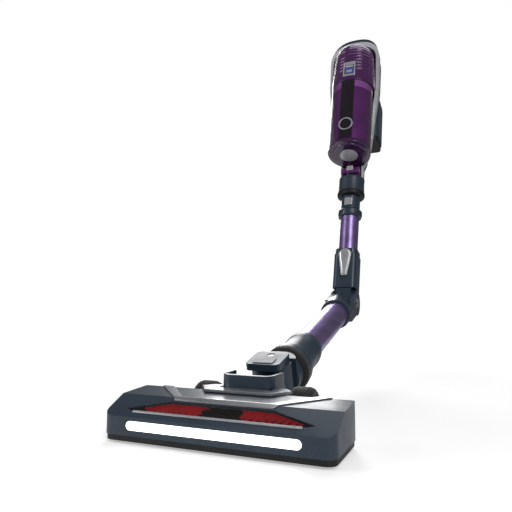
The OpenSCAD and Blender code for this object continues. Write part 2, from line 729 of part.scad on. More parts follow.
module dome_half(r) translate([0, -dome_t, 0]) rotate_extrude() polygon(concat(
    [[0, dome_s], [r, dome_s], [r - 0.5, dome_s + 40]],
    [for (a = [0:6:90]) [(r - 2) * pow(cos(a), arch_power), dome_flat + (dome_rise - dome_r + r) * pow(sin(a), arch_power)]]
));
module motor_dome() color(plum) hand_frame() difference() {
    dome_half(dome_r);
    behind_frame(frame_depth - eps);
    translate([0, 0, -eps]) dome_half(dome_r - dome_wall);
    block(14, display_s - 0.2, display_s + 39.2, 60, 120);
}

display_s = dome_s + 9;
module display() color(silver) hand_frame() difference() {
    block(13.8, display_s, display_s + 39, dome_t + dome_r - 10, dome_t + dome_r + 1.5);
    block(11, display_s + 5, display_s + 31, dome_t + dome_r, dome_t + dome_r + 5);
}

module filters() color("#e4e2da") hand_frame() translate([0, -dome_t, dome_s]) {
    translate([0, 0, 3]) cylinder(r = 36, h = 16);
    translate([0, 0, 92]) cylinder(r = 22, h = 14);
}

module suction_motor() color("#7d7f84") hand_frame() translate([0, -dome_t, dome_s + 42]) difference() {
    cylinder(r = 28, h = 46);
    translate([0, 0, -1]) cylinder(r = fan_shaft_r + run, h = 36);
}

fan_blades = 9;
module fan() color("#b9bcc2") hand_frame() translate([0, -dome_t, dome_s + 23]) union() {
    cylinder(r = 26, h = 3);
    for (i = [0:fan_blades - 1]) rotate([0, 0, 360 * i / fan_blades]) translate([6, -0.8, 3 - eps]) cube([19, 1.6, 8]);
    cylinder(r = fan_shaft_r, h = 50);
}

module handle_grip() color(slate) hand_frame() difference() {
    union() {
        hull() {
            translate([0, -back_t - 8, grip_top - 2]) sphere(r = grip_r, $fn = shell_fn);
            translate([0, -grip_top_t, grip_top]) sphere(r = grip_r, $fn = shell_fn);
        }
        hull() {
            translate([0, -grip_top_t, grip_top]) sphere(r = grip_r, $fn = shell_fn);
            translate([0, -grip_t, battery_top + bridge_h]) cylinder(r = grip_r + 1, h = 1, $fn = shell_fn);
        }
    }
    slab(back_t, 60) polygon(arch_outline(20));
    block(6.4, handle_s + 35.6, handle_s + 62.4, grip_t + 5.5, grip_t + 40);
}

module trigger() color(dark) hand_frame()
    slab(grip_t + 11, grip_t + grip_r + 6) translate([0, handle_s + 49]) polygon(round_rect(6, 13, 4));

module mode_button() color(silver) hand_frame() slab(back_t - 1.8, back_t + 2.8)
    translate([0, handle_s + 30]) circle(r = 8);

module battery_plan(grow) translate([0, -battery_t + battery_d / 2])
    polygon(round_rect(battery_hw + grow, battery_d / 2 + grow, 12 + grow));
module battery_case() color(slate) hand_frame() difference() {
    translate([0, 0, battery_s + eps]) linear_extrude(battery_h - 0.2) battery_plan(0);
    translate([0, 0, battery_s + case_wall]) linear_extrude(battery_h - 2 * case_wall) battery_plan(-case_wall);
    slab(battery_t - battery_d - 5, battery_t - battery_d + 5) translate([0, battery_top - 18])
        polygon(round_rect(10.4, 8.4, 2));
}
module battery_cells() color("#3f7fae") hand_frame() translate([0, -battery_t + battery_d / 2, battery_s + case_wall])
    for (x = [-1:1], y = [-1, 1]) translate([x * 21, y * 11 - 3, 0]) cylinder(r = cell_r, h = 70);
module battery_foot() color(dark) hand_frame() difference() {
    translate([0, 0, battery_s - foot_h]) linear_extrude(foot_h - eps) battery_plan(-2);
    translate([0, -battery_t + battery_d / 2, battery_s - foot_h - 1]) cylinder(r = socket_r, h = socket_len + 1);
}
module battery_button() color(dark) hand_frame()
    slab(battery_t - battery_d - 1.2, battery_t - battery_d + 2.4) translate([0, battery_top - 18])
        polygon(round_rect(10, 8, 2));

head_shell();
sole_plate();
light_bar();
light_board();
brush_window();
window_trim();
head_trim();
hump_cover();
hump_skirt();
pivot_bracket();
wheel_axles();
roller_bearings();
brush_motor();
drive_belt();
rear_lip();
sole_screws();
brush_roller();
roller_bristles();
motor_pulley();
wheel_left();
wheel_right();
caster_left();
caster_right();
neck_body();
swing_pins();
elbow_yoke();
elbow_plate();
dotted_ring();
lower_collar();
collar_button();
lower_tube();
knee_lower();
knee_pin();
knee_upper();
knee_lever();
lock_bolts();
upper_tube();
wand_collar();
wand_button();
inlet_sleeve();
silver_frame();
main_housing();
inlet_duct();
dust_bin();
bin_inner();
bin_lid();
bin_trim();
bin_latch();
motor_dome();
display();
filters();
suction_motor();
fan();
handle_grip();
trigger();
mode_button();
battery_case();
battery_cells();
battery_foot();
battery_button();
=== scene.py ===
# %% [markdown]
# # A cordless stick vacuum
# The model of the vacuum arrives as a fixed frame: every solid already has its true size and place,
# and every moving part knows its joint. Here it gets its looks. A maker could model each shape again
# from nothing, but then sizes would drift. So each shape is either the frame's own solid with softer
# edges, or a richer piece that is built in the same place and stands for it.

# %% Load the frame
import json
import math

import bmesh
import bpy
from mathutils import Matrix, Vector


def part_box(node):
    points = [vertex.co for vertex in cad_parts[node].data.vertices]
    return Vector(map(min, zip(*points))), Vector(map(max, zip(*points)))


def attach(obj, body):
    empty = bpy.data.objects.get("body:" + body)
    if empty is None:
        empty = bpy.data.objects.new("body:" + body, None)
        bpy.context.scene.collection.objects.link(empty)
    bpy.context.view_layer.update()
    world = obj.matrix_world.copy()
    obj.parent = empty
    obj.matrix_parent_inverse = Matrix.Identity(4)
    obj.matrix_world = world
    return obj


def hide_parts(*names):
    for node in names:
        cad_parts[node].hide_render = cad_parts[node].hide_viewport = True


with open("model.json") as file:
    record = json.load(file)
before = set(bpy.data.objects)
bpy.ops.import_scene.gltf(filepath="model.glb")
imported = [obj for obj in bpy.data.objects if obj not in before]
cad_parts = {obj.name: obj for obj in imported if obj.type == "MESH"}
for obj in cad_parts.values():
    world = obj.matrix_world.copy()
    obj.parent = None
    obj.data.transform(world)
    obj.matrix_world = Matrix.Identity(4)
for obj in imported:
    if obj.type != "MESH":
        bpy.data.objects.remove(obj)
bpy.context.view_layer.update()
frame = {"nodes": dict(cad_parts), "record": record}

record = frame["record"]
joints = {j["name"]: j for j in record["behaviour"]["joints"]}
body_of_node = {n: b for b, nodes in record["behaviour"]["bodies"].items() for n in nodes}
slot_of_node = {s["node"]: s["material_slot"] for s in record["subparts"]}

# %% [markdown]
# The wand is two straight tubes that lean, so it is easier to think along each tube than in the
# room's directions. A small matrix does that: it turns millimetres across, behind and along a tube
# into metres in the room. Positions are then read off the frame's own solids in the same way.

# %% Places to build in
MM = 0.001
ACROSS = Vector((1, 0, 0))


def tube_frame(origin, along):
    """x runs across, z along the tube, and -y points to the tube's front side, in millimetres."""
    along = Vector(along).normalized()
    back = along.cross(ACROSS)
    turn = Matrix((ACROSS, back, along)).transposed().to_4x4()
    return Matrix.Translation(origin) @ turn @ Matrix.Scale(MM, 4)


def axle_frame(origin):
    """z runs along an axle that lies across the vacuum."""
    return Matrix.Translation(origin) @ Matrix.Rotation(math.pi / 2, 4, "Y") @ Matrix.Scale(MM, 4)


def reach(node, place):
    """Lowest and highest corner of a solid, measured in a place's own directions."""
    back = place.inverted()
    points = [back @ v.co for v in frame["nodes"][node].data.vertices]
    low = Vector(min(p[i] for p in points) for i in range(3))
    return low, Vector(max(p[i] for p in points) for i in range(3))


head_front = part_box("head_shell")[0].y
floor_place = Matrix.Translation((0, head_front, 0)) @ Matrix.Scale(MM, 4)
pivot = Vector(joints["neck_pitch"]["pos_m"])
knee = Vector(joints["knee_fold"]["pos_m"])
lower_front = Vector(joints["neck_swing"]["axis"])
lower_along = lower_front.cross(ACROSS)
upper_along = Vector(joints["lock_bolt_lift"]["axis"])
lower = tube_frame(pivot, lower_along)
upper = tube_frame(knee, upper_along)
hand = upper @ Matrix.Translation((0, 0, reach("inlet_sleeve", upper)[0].z))
print("lower tube leans", round(math.degrees(math.asin(lower_along.z)), 1), "degrees")
print("upper tube leans", round(math.degrees(math.asin(upper_along.z)), 1), "degrees")

# %% [markdown]
# ## The camera, the floor and the light
# The vacuum stands on a white studio floor and is seen from low down, close to the floor head, so the
# head looks wide and the hand unit small. A wide lens close by does that; a long lens from far away
# would flatten it. Large soft lights stand on both sides, as in a product studio, because silver trim
# and glossy purple need broad shapes to mirror.

# %% Camera
scene = bpy.context.scene


def link(obj):
    scene.collection.objects.link(obj)
    return obj


lens = bpy.data.cameras.new("camera")
lens.sensor_width = 36
lens.lens = 35.96
camera = link(bpy.data.objects.new("camera", lens))
turn_left, look_up = 0.4067, 0.0919
aim = Vector((-math.sin(turn_left) * math.cos(look_up), math.cos(turn_left) * math.cos(look_up),
              math.sin(look_up)))
camera.location = (0.2501, head_front - 0.4584, 0.1495)
camera.rotation_euler = aim.to_track_quat("-Z", "Y").to_euler()
scene.camera = camera
scene.view_settings.view_transform = "Standard"
scene.view_settings.look = "None"
print("camera at", [round(c, 3) for c in camera.location])

# %% Floor and lights
floor_mesh = bpy.data.meshes.new("floor")
side = 6.0
floor_corners = [(-side, -side, 0), (side, -side, 0), (side, side, 0), (-side, side, 0)]
floor_mesh.from_pydata(floor_corners, [], [(0, 1, 2, 3)])
floor = link(bpy.data.objects.new("floor", floor_mesh))
floor_paint = bpy.data.materials.new("studio_floor")
floor_paint.use_nodes = True
floor_paint.node_tree.nodes["Principled BSDF"].inputs["Base Color"].default_value = (0.9, 0.9, 0.9, 1)
floor_paint.node_tree.nodes["Principled BSDF"].inputs["Roughness"].default_value = 0.55
floor_tree = floor_paint.node_tree
place = floor_tree.nodes.new("ShaderNodeTexCoord").outputs["Object"]
span = floor_tree.nodes.new("ShaderNodeVectorMath")
span.operation = "LENGTH"
floor_tree.links.new(place, span.inputs[0])
floor_fades = (("Alpha", 1.0, 0.0, 0.5, 1.2), ("Emission Strength", 0.38, 0.8, 0.3, 0.9))
for socket, near, far, start, end in floor_fades:
    ramp = floor_tree.nodes.new("ShaderNodeMapRange")
    ramp.interpolation_type = "SMOOTHSTEP"
    for key, number in (("From Min", start), ("From Max", end), ("To Min", near), ("To Max", far)):
        ramp.inputs[key].default_value = number
    floor_tree.links.new(span.outputs["Value"], ramp.inputs["Value"])
    amount = ramp.outputs[0]
    if socket == "Emission Strength":
        # The glow only whitens the floor for the camera, so that it throws no light up at the vacuum.
        only_seen = floor_tree.nodes.new("ShaderNodeMath")
        only_seen.operation = "MULTIPLY"
        floor_tree.links.new(amount, only_seen.inputs[0])
        floor_tree.links.new(floor_tree.nodes.new("ShaderNodeLightPath").outputs["Is Camera Ray"],
                             only_seen.inputs[1])
        amount = only_seen.outputs[0]
    floor_tree.links.new(amount, floor_tree.nodes["Principled BSDF"].inputs[socket])
floor_tree.nodes["Principled BSDF"].inputs["Emission Color"].default_value = (1, 1, 1, 1)
floor_mesh.materials.append(floor_paint)


def soft_light(name, place, target, size, power, tint=(1, 1, 1)):
    data = bpy.data.lights.new(name, "AREA")
    data.shape = "RECTANGLE"
    data.size, data.size_y = size
    data.energy = power
    data.color = tint
    lamp = link(bpy.data.objects.new(name, data))
    lamp.location = place
    lamp.rotation_euler = (Vector(target) - Vector(place)).to_track_quat("-Z", "Y").to_euler()
    return lamp


middle = Vector((0, 0, 0.4))
soft_light("key", (1.5, -1.7, 1.7), middle, (1.0, 1.6), 30)
soft_light("fill", (-1.8, -1.2, 1.0), middle, (0.8, 2.0), 16)
soft_light("overhead", (0.2, 0.9, 2.4), middle, (1.2, 1.6), 10)
soft_light("rim", (-0.9, 2.0, 1.4), middle, (0.8, 1.8), 26)
world = bpy.data.worlds.new("studio")
scene.world = world
world.use_nodes = True
backdrop = world.node_tree.nodes["Background"]
backdrop.inputs["Color"].default_value = (1.0, 1.0, 1.0, 1)
seen = world.node_tree.nodes.new("ShaderNodeLightPath")
strength = world.node_tree.nodes.new("ShaderNodeMapRange")
strength.inputs["To Min"].default_value = 0.13
strength.inputs["To Max"].default_value = 1.0
world.node_tree.links.new(seen.outputs["Is Camera Ray"], strength.inputs["Value"])
world.node_tree.links.new(strength.outputs[0], backdrop.inputs["Strength"])

# %% [markdown]
# ## Finishes
# Most of the vacuum is moulded plastic, and no moulded surface is one flat colour: it has a fine
# grain, slight mottling, and patches where hands have polished it. The same recipe serves many
# finishes, so it is built once as a node group and given other numbers in each material. The
# alternative, a painted picture, would not follow the shapes and would need unwrapping.

# %% Groups for grain and handling marks
def node(tree, kind, links=None, **settings):
    """Adds a node, sets its properties, and fills its inputs by name or number."""
    made = tree.nodes.new(kind)
    for key, value in settings.items():
        setattr(made, key, value)
    for key, value in (links or {}).items():
        socket = made.inputs[key]
        if isinstance(value, bpy.types.NodeSocket):
            tree.links.new(value, socket)
        else:
            socket.default_value = value
    return made


def new_group(name, inputs, outputs):
    group = bpy.data.node_groups.new(name, "ShaderNodeTree")
    for label, kind, value in inputs:
        socket = group.interface.new_socket(label, in_out="INPUT", socket_type=kind)
        if value is not None:
            socket.default_value = value
    for label in outputs:
        group.interface.new_socket(label, in_out="OUTPUT", socket_type="NodeSocketFloat")
    return group, group.nodes.new("NodeGroupInput"), group.nodes.new("NodeGroupOutput")


grain_group, given, result = new_group(
    "moulded_grain",
    [("Vector", "NodeSocketVector", None), ("Scale", "NodeSocketFloat", 900.0),
     ("Pits", "NodeSocketFloat", 0.3)],
    ["Height", "Mottle"])
fine = node(grain_group, "ShaderNodeTexNoise", {"Vector": given.outputs["Vector"],
                                                "Scale": given.outputs["Scale"],
                                                "Detail": 3.0, "Roughness": 0.6})
cells = node(grain_group, "ShaderNodeTexVoronoi", {"Vector": given.outputs["Vector"],
                                                   "Scale": given.outputs["Scale"]}, feature="SMOOTH_F1")
pits = node(grain_group, "ShaderNodeMath", {0: cells.outputs["Distance"], 1: given.outputs["Pits"]},
            operation="MULTIPLY")
height = node(grain_group, "ShaderNodeMath", {0: fine.outputs["Fac"], 1: pits.outputs[0]}, operation="ADD")
broad = node(grain_group, "ShaderNodeTexNoise", {"Vector": given.outputs["Vector"],
                                                 "Scale": 26.0, "Detail": 5.0})
grain_group.links.new(height.outputs[0], result.inputs["Height"])
grain_group.links.new(broad.outputs["Fac"], result.inputs["Mottle"])

wear_group, given, result = new_group(
    "handling_marks",
    [("Vector", "NodeSocketVector", None), ("Size", "NodeSocketFloat", 14.0),
     ("Smooth", "NodeSocketFloat", 0.3),
     ("Rough", "NodeSocketFloat", 0.5)],
    ["Roughness", "Scratches"])
patches = node(wear_group, "ShaderNodeTexNoise", {"Vector": given.outputs["Vector"],
                                                  "Scale": given.outputs["Size"], "Detail": 6.0,
                                                  "Distortion": 0.8})
spread = node(wear_group, "ShaderNodeMapRange", {"Value": patches.outputs["Fac"], "From Min": 0.3,
                                                 "From Max": 0.7, "To Min": given.outputs["Smooth"],
                                                 "To Max": given.outputs["Rough"]})
stretched = node(wear_group, "ShaderNodeMapping", {"Vector": given.outputs["Vector"], "Scale": (30, 900, 200),
                                                   "Rotation": (0.4, 0.9, 0.3)})
hairs = node(wear_group, "ShaderNodeTexNoise", {"Vector": stretched.outputs[0], "Scale": 1.0, "Detail": 2.0})
few = node(wear_group, "ShaderNodeMapRange", {"Value": hairs.outputs["Fac"],
                                              "From Min": 0.66, "From Max": 0.74})
wear_group.links.new(spread.outputs[0], result.inputs["Roughness"])
wear_group.links.new(few.outputs[0], result.inputs["Scratches"])
print("groups", grain_group.name, wear_group.name)

# %% [markdown]
# Every plastic, lacquer and rubber is then one call. Its shader stays in the material, where gloss
# and clear coat are plain numbers, and only what changes over the surface comes from the groups.

# %% Finishes from the groups
finish = {}


def start_finish(name):
    paint = bpy.data.materials.new(name)
    paint.use_nodes = True
    tree = paint.node_tree
    shader = tree.nodes["Principled BSDF"]
    here = node(tree, "ShaderNodeTexCoord").outputs["Object"]
    return paint, tree, shader, here


def add_bump(tree, shader, height, depth, strength=1.0):
    bump = node(tree, "ShaderNodeBump", {"Height": height, "Distance": depth * MM, "Strength": strength})
    tree.links.new(bump.outputs[0], shader.inputs["Normal"])
    return bump


def tinted(tree, shader, color, mask, contrast):
    dark = tuple(c * (1 - contrast) for c in color) + (1,)
    light = tuple(min(1, c * (1 + contrast)) for c in color) + (1,)
    # A Mix node's colour sockets share their names with its number sockets, so they are set by number.
    blend = node(tree, "ShaderNodeMix", {0: mask}, data_type="RGBA")
    blend.inputs[6].default_value, blend.inputs[7].default_value = dark, light
    tree.links.new(blend.outputs[2], shader.inputs["Base Color"])
    return blend


def moulded(name, color, smooth, rough, grain=900.0, depth=0.05, pits=0.3, contrast=0.1, coat=0.0,
            metallic=0.0, sheen=0.0, alpha=1.0, size=14.0):
    paint, tree, shader, here = start_finish(name)
    grains = node(tree, "ShaderNodeGroup", node_tree=grain_group)
    marks = node(tree, "ShaderNodeGroup", node_tree=wear_group)
    tree.links.new(here, grains.inputs["Vector"])
    tree.links.new(here, marks.inputs["Vector"])
    grains.inputs["Scale"].default_value = grain
    grains.inputs["Pits"].default_value = pits
    marks.inputs["Size"].default_value = size
    marks.inputs["Smooth"].default_value = smooth
    marks.inputs["Rough"].default_value = rough
    tinted(tree, shader, color, grains.outputs["Mottle"], contrast)
    tree.links.new(marks.outputs["Roughness"], shader.inputs["Roughness"])
    both = node(tree, "ShaderNodeMath", {0: marks.outputs["Scratches"], 1: -0.4, 2: grains.outputs["Height"]},
                operation="MULTIPLY_ADD")
    add_bump(tree, shader, both.outputs[0], depth)
    shader.inputs["Metallic"].default_value = metallic
    shader.inputs["Coat Weight"].default_value = coat
    shader.inputs["Coat Roughness"].default_value = 0.12
    shader.inputs["Sheen Weight"].default_value = sheen
    shader.inputs["Alpha"].default_value = alpha
    finish[name] = paint
    return paint


moulded("slate_plastic", (0.026, 0.044, 0.068), 0.30, 0.46, grain=1100, depth=0.02, contrast=0.14, coat=0.08)
moulded("black_plastic", (0.006, 0.007, 0.008), 0.40, 0.62, grain=800, depth=0.06, contrast=0.2)
moulded("silver_paint", (0.58, 0.59, 0.62), 0.26, 0.38, grain=1500, depth=0.004, contrast=0.04, coat=0.3,
        metallic=0.55)
moulded("purple_gloss", (0.105, 0.022, 0.135), 0.12, 0.24, grain=500, depth=0.01, contrast=0.16, coat=0.8,
        metallic=0.35)
moulded("trim_silver", (0.42, 0.43, 0.46), 0.24, 0.38, grain=1500, depth=0.004, contrast=0.05, coat=0.3,
        metallic=0.7)
# Painted shade: the elbow's top plate faces the overhead light, so its silver is a darker, duller copy of the
# silver paint that keeps it from turning white.
moulded("shaded_plate_silver", (0.40, 0.41, 0.43), 0.42, 0.6, grain=1500, depth=0.004, contrast=0.05, metallic=0.2)
moulded("frame_silver", (0.80, 0.81, 0.84), 0.20, 0.32, grain=1500, depth=0.004, contrast=0.03, coat=0.5,
        metallic=0.35)
moulded("rubber", (0.007, 0.007, 0.008), 0.55, 0.8, grain=600, depth=0.1, pits=0.7, contrast=0.25, sheen=0.2)
moulded("motor_metal", (0.34, 0.34, 0.36), 0.35, 0.55, grain=700, depth=0.08, contrast=0.15, metallic=1.0)
moulded("board_green", (0.02, 0.12, 0.05), 0.3, 0.5, grain=400, depth=0.05, contrast=0.3)
moulded("filter_foam", (0.72, 0.71, 0.66), 0.8, 0.95,
        grain=350, depth=0.5, pits=1.0, contrast=0.15, sheen=0.4)
moulded("cell_wrap", (0.05, 0.2, 0.42), 0.25, 0.4, grain=900, depth=0.01, contrast=0.1, coat=0.4)
moulded("steel", (0.55, 0.55, 0.57), 0.22, 0.38, grain=1400, depth=0.015, contrast=0.08, metallic=1.0)
moulded("red_bristle", (0.80, 0.010, 0.018), 0.55, 0.8,
        grain=700, depth=0.05, contrast=0.35, sheen=0.5, size=60)
glowing_bristle_shader = finish["red_bristle"].node_tree.nodes["Principled BSDF"]
# The bristles glow red though they are no lamp: painted light that makes them stand out bright red behind the
# dark window.
glowing_bristle_shader.inputs["Emission Color"].default_value = (0.8, 0.01, 0.02, 1)
glowing_bristle_shader.inputs["Emission Strength"].default_value = 0.34
moulded("dark_gasket", (0.01, 0.006, 0.013), 0.4, 0.6, grain=700, depth=0.05, contrast=0.2)
moulded("dot_plastic", (0.10, 0.105, 0.11), 0.3, 0.5, grain=800, depth=0.03, contrast=0.2)
print("finishes", len(finish))

# %% [markdown]
# The wand's tubes are anodised aluminium: dye sits in the metal's skin, so the colour is deep and the
# shine is the metal's own. Drawing the tube leaves faint streaks along it. Noise stretched along the
# tube's direction gives them. Each tube leans by its own angle, so the streaks are turned with it.

# %% Anodised tubes
def anodised(name, along):
    paint, tree, shader, here = start_finish(name)
    lean = math.pi / 2 - math.asin(along.z)
    straight = node(tree, "ShaderNodeMapping", {"Vector": here, "Rotation": (lean, 0, 0)},
                    vector_type="TEXTURE")
    drawn = node(tree, "ShaderNodeMapping", {"Vector": straight.outputs[0], "Scale": (420, 420, 5)})
    streaks = node(tree, "ShaderNodeTexNoise", {"Vector": drawn.outputs[0], "Scale": 1.0, "Detail": 4.0})
    wide = node(tree, "ShaderNodeMapping", {"Vector": straight.outputs[0], "Scale": (60, 60, 2)})
    bands = node(tree, "ShaderNodeTexNoise", {"Vector": wide.outputs[0], "Scale": 1.0, "Detail": 1.0})
    mask = node(tree, "ShaderNodeMath", {0: streaks.outputs["Fac"], 1: 0.35, 2: bands.outputs["Fac"]},
                operation="MULTIPLY_ADD")
    settle = node(tree, "ShaderNodeMapRange", {"Value": mask.outputs[0], "From Min": 0.45, "From Max": 0.9})
    tinted(tree, shader, (0.27, 0.19, 0.43), settle.outputs[0], 0.26)
    shine = node(tree, "ShaderNodeMapRange", {"Value": streaks.outputs["Fac"],
                                              "To Min": 0.30, "To Max": 0.46})
    tree.links.new(shine.outputs[0], shader.inputs["Roughness"])
    add_bump(tree, shader, streaks.outputs["Fac"], 0.004)
    shader.inputs["Metallic"].default_value = 0.85
    shader.inputs["Coat Weight"].default_value = 0.25
    finish[name] = paint


anodised("lower_anodised", lower_along)
anodised("upper_anodised", upper_along)
print("tubes", "lower_anodised" in finish, "upper_anodised" in finish)

# %% [markdown]
# The bin is clear purple plastic and the brush window is smoked. Real glass shaders bend light
# twice at each wall, which costs a great deal of light and noise. A see-through Alpha with a clear,
# sharp gloss reads the same at this size and exports well, so both use that. Fine moulding lines
# and a little dust keep them from looking like empty film.

# %% Clear plastics
def clear_plastic(name, color, alpha, gloss, dust):
    paint, tree, shader, here = start_finish(name)
    grains = node(tree, "ShaderNodeGroup", node_tree=grain_group)
    tree.links.new(here, grains.inputs["Vector"])
    grains.inputs["Scale"].default_value = 240
    # Clear plastic looks deepest where one looks along its wall, so the colour is painted darker towards the
    # edges seen at a slant and lighter where the wall faces the view: painted shade that follows the view,
    # mixed with the plastic's own mottle.
    slant = node(tree, "ShaderNodeLayerWeight", {"Blend": 0.42})
    facing = node(tree, "ShaderNodeMapRange", {"Value": slant.outputs["Facing"],
                                               "From Min": 0.1, "From Max": 0.75,
                                               "To Min": 1.0, "To Max": 0.0})
    mottle_fading_to_edge_shade = node(tree, "ShaderNodeMath", {0: grains.outputs["Mottle"], 1: facing.outputs[0]},
                      operation="MULTIPLY")
    edge_shade_and_mottle = node(tree, "ShaderNodeMath", {0: facing.outputs[0], 1: 0.5, 2: mottle_fading_to_edge_shade.outputs[0]},
                     operation="MULTIPLY_ADD")
    tinted(tree, shader, color, edge_shade_and_mottle.outputs[0], 0.7)
    haze = node(tree, "ShaderNodeMapRange", {"Value": grains.outputs["Mottle"],
                                             "From Min": 0.3, "From Max": 0.7,
                                             "To Min": alpha - dust, "To Max": alpha + dust})
    tree.links.new(haze.outputs[0], shader.inputs["Alpha"])
    rub = node(tree, "ShaderNodeMapRange", {"Value": grains.outputs["Mottle"], "To Min": gloss,
                                            "To Max": gloss + 0.1})
    tree.links.new(rub.outputs[0], shader.inputs["Roughness"])
    add_bump(tree, shader, grains.outputs["Height"], 0.006)
    shader.inputs["Coat Weight"].default_value = 1.0
    shader.inputs["Coat Roughness"].default_value = 0.04
    shader.inputs["IOR"].default_value = 1.5
    finish[name] = paint


clear_plastic("clear_purple", (0.115, 0.020, 0.145), 0.58, 0.06, 0.05)
clear_plastic("lid_purple", (0.040, 0.012, 0.055), 0.88, 0.08, 0.05)
clear_plastic("smoked_window", (0.004, 0.003, 0.005), 0.42, 0.05, 0.06)
print("clear plastics", [n for n in finish if n in ("clear_purple", "lid_purple", "smoked_window")])

# %% [markdown]
# The head's lamp is a milky strip with a row of small lights behind it, so it glows almost evenly,
# a touch brighter in front of each light. The display is black glass over a glowing blue panel.

# %% Things that glow
def glowing(name, base, color, power, spacing):
    paint, tree, shader, here = start_finish(name)
    parts = node(tree, "ShaderNodeSeparateXYZ", {0: here})
    wave = node(tree, "ShaderNodeMath", {0: parts.outputs["X"], 1: 2 * math.pi / spacing},
                operation="MULTIPLY")
    beat = node(tree, "ShaderNodeMath", {0: wave.outputs[0]}, operation="COSINE")
    soft = node(tree, "ShaderNodeMapRange", {"Value": beat.outputs[0], "From Min": -1, "From Max": 1})
    shades = node(tree, "ShaderNodeMix", {0: soft.outputs[0]}, data_type="RGBA")
    shades.inputs[6].default_value = tuple(c * 0.86 for c in color) + (1,)
    shades.inputs[7].default_value = tuple(color) + (1,)
    tree.links.new(shades.outputs[2], shader.inputs["Emission Color"])
    fine_haze = node(tree, "ShaderNodeTexNoise", {"Vector": here, "Scale": 700.0, "Detail": 2.0})
    spread_rough = node(tree, "ShaderNodeMapRange", {"Value": fine_haze.outputs["Fac"],
                                                     "To Min": 0.2, "To Max": 0.4})
    tree.links.new(spread_rough.outputs[0], shader.inputs["Roughness"])
    add_bump(tree, shader, fine_haze.outputs["Fac"], 0.01)
    shader.inputs["Base Color"].default_value = tuple(base) + (1,)
    shader.inputs["Emission Strength"].default_value = power
    shader.inputs["Coat Weight"].default_value = 0.5
    finish[name] = paint


glowing("light_lens", (0.9, 0.92, 0.95), (1.0, 1.0, 1.0), 2.6, 0.012)
glowing("display_glow", (0.02, 0.03, 0.09), (0.07, 0.08, 0.26), 0.6, 0.004)
glowing("display_pale", (0.3, 0.3, 0.36), (0.50, 0.50, 0.62), 0.35, 0.004)
moulded("screen_glass", (0.02, 0.02, 0.045), 0.05, 0.1, grain=300, depth=0.004, coat=1.0)
print("glowing", [n for n in finish if "glow" in n or "lens" in n])

# %% [markdown]
# The floor head's casing has a woven pattern pressed into its front: fine diagonal lines that cross.
# Modelled line by line it would need hundreds of thousands of faces, so it is a height pattern in the
# finish, and a mask keeps it to the front face. The lines are two waves that cross at right angles.

# %% Woven front of the casing
moulded("casing_slate", (0.026, 0.044, 0.068), 0.27, 0.44, grain=1100, depth=0.02, contrast=0.14, coat=0.15)
tree = finish["casing_slate"].node_tree
shader = tree.nodes["Principled BSDF"]
old_bump = shader.inputs["Normal"].links[0].from_node
here = node(tree, "ShaderNodeTexCoord").outputs["Object"]
parts = node(tree, "ShaderNodeSeparateXYZ", {0: here})
waves = []
for slope in (1, -1):
    lines = node(tree, "ShaderNodeMath", {0: parts.outputs["Z"], 1: slope, 2: parts.outputs["X"]},
                 operation="MULTIPLY_ADD")
    phase = node(tree, "ShaderNodeMath", {0: lines.outputs[0], 1: 2 * math.pi / 0.0042}, operation="MULTIPLY")
    waves.append(node(tree, "ShaderNodeMath", {0: phase.outputs[0]}, operation="SINE"))
weave = node(tree, "ShaderNodeMath", {0: waves[0].outputs[0], 1: waves[1].outputs[0]}, operation="MAXIMUM")
front_only = node(tree, "ShaderNodeMapRange", {"Value": parts.outputs["Y"], "From Min": head_front + 0.004,
                                               "From Max": head_front + 0.001})
below_edge = node(tree, "ShaderNodeMapRange", {"Value": parts.outputs["Z"], "From Min": 0.0265,
                                               "From Max": 0.0245})
both_masks = node(tree, "ShaderNodeMath", {0: front_only.outputs[0], 1: below_edge.outputs[0]},
                  operation="MULTIPLY")
masked = node(tree, "ShaderNodeMath", {0: weave.outputs[0], 1: both_masks.outputs[0]}, operation="MULTIPLY")
woven = node(tree, "ShaderNodeBump", {"Height": masked.outputs[0], "Distance": 0.12 * MM, "Strength": 0.8})
tree.links.new(old_bump.outputs[0], woven.inputs["Normal"])
tree.links.new(woven.outputs[0], shader.inputs["Normal"])
print("woven lines every", 4.2, "mm")

# %% [markdown]
# ## Helpers for pieces
# Moulded parts never have knife edges. The frame's solids do, so `softened` copies a solid, joins
# its loose triangles, and rounds its sharp edges with a Bevel modifier, which stays live so that
# the width can still be changed. The copy stands for the solid and rides on the same body.

# %% Softened copies of solids
def dress(obj, body, slot, material=None, stands_for=()):
    """Gives a finished piece its material, its body and what it stands for."""
    obj.data.materials.clear()
    obj.data.materials.append(finish[material or slot])
    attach(obj, body)
    if stands_for:
        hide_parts(*stands_for)
    return obj


def smooth_mesh(mesh, angle=32):
    mesh.shade_smooth()
    mesh.set_sharp_from_angle(angle=math.radians(angle))


def round_edges(obj, width, steps=3, angle=32):
    bevel = obj.modifiers.new("soft edges", "BEVEL")
    bevel.width = width * MM
    bevel.segments = steps
    bevel.limit_method = "ANGLE"
    bevel.angle_limit = math.radians(angle)
    bevel.harden_normals = False
    return obj


def softened(solid, edge, material=None, angle=32, steps=3):
    shape = bmesh.new()
    shape.from_mesh(frame["nodes"][solid].data)
    bmesh.ops.remove_doubles(shape, verts=shape.verts, dist=0.002 * MM)
    bmesh.ops.dissolve_limit(shape, angle_limit=math.radians(0.8), verts=shape.verts, edges=shape.edges)
    mesh = bpy.data.meshes.new(solid + "_soft")
    shape.to_mesh(mesh)
    shape.free()
    smooth_mesh(mesh, angle)
    obj = link(bpy.data.objects.new(solid + "_soft", mesh))
    round_edges(obj, edge, steps, angle)
    return dress(obj, body_of_node[solid], slot_of_node[solid], material, [solid])


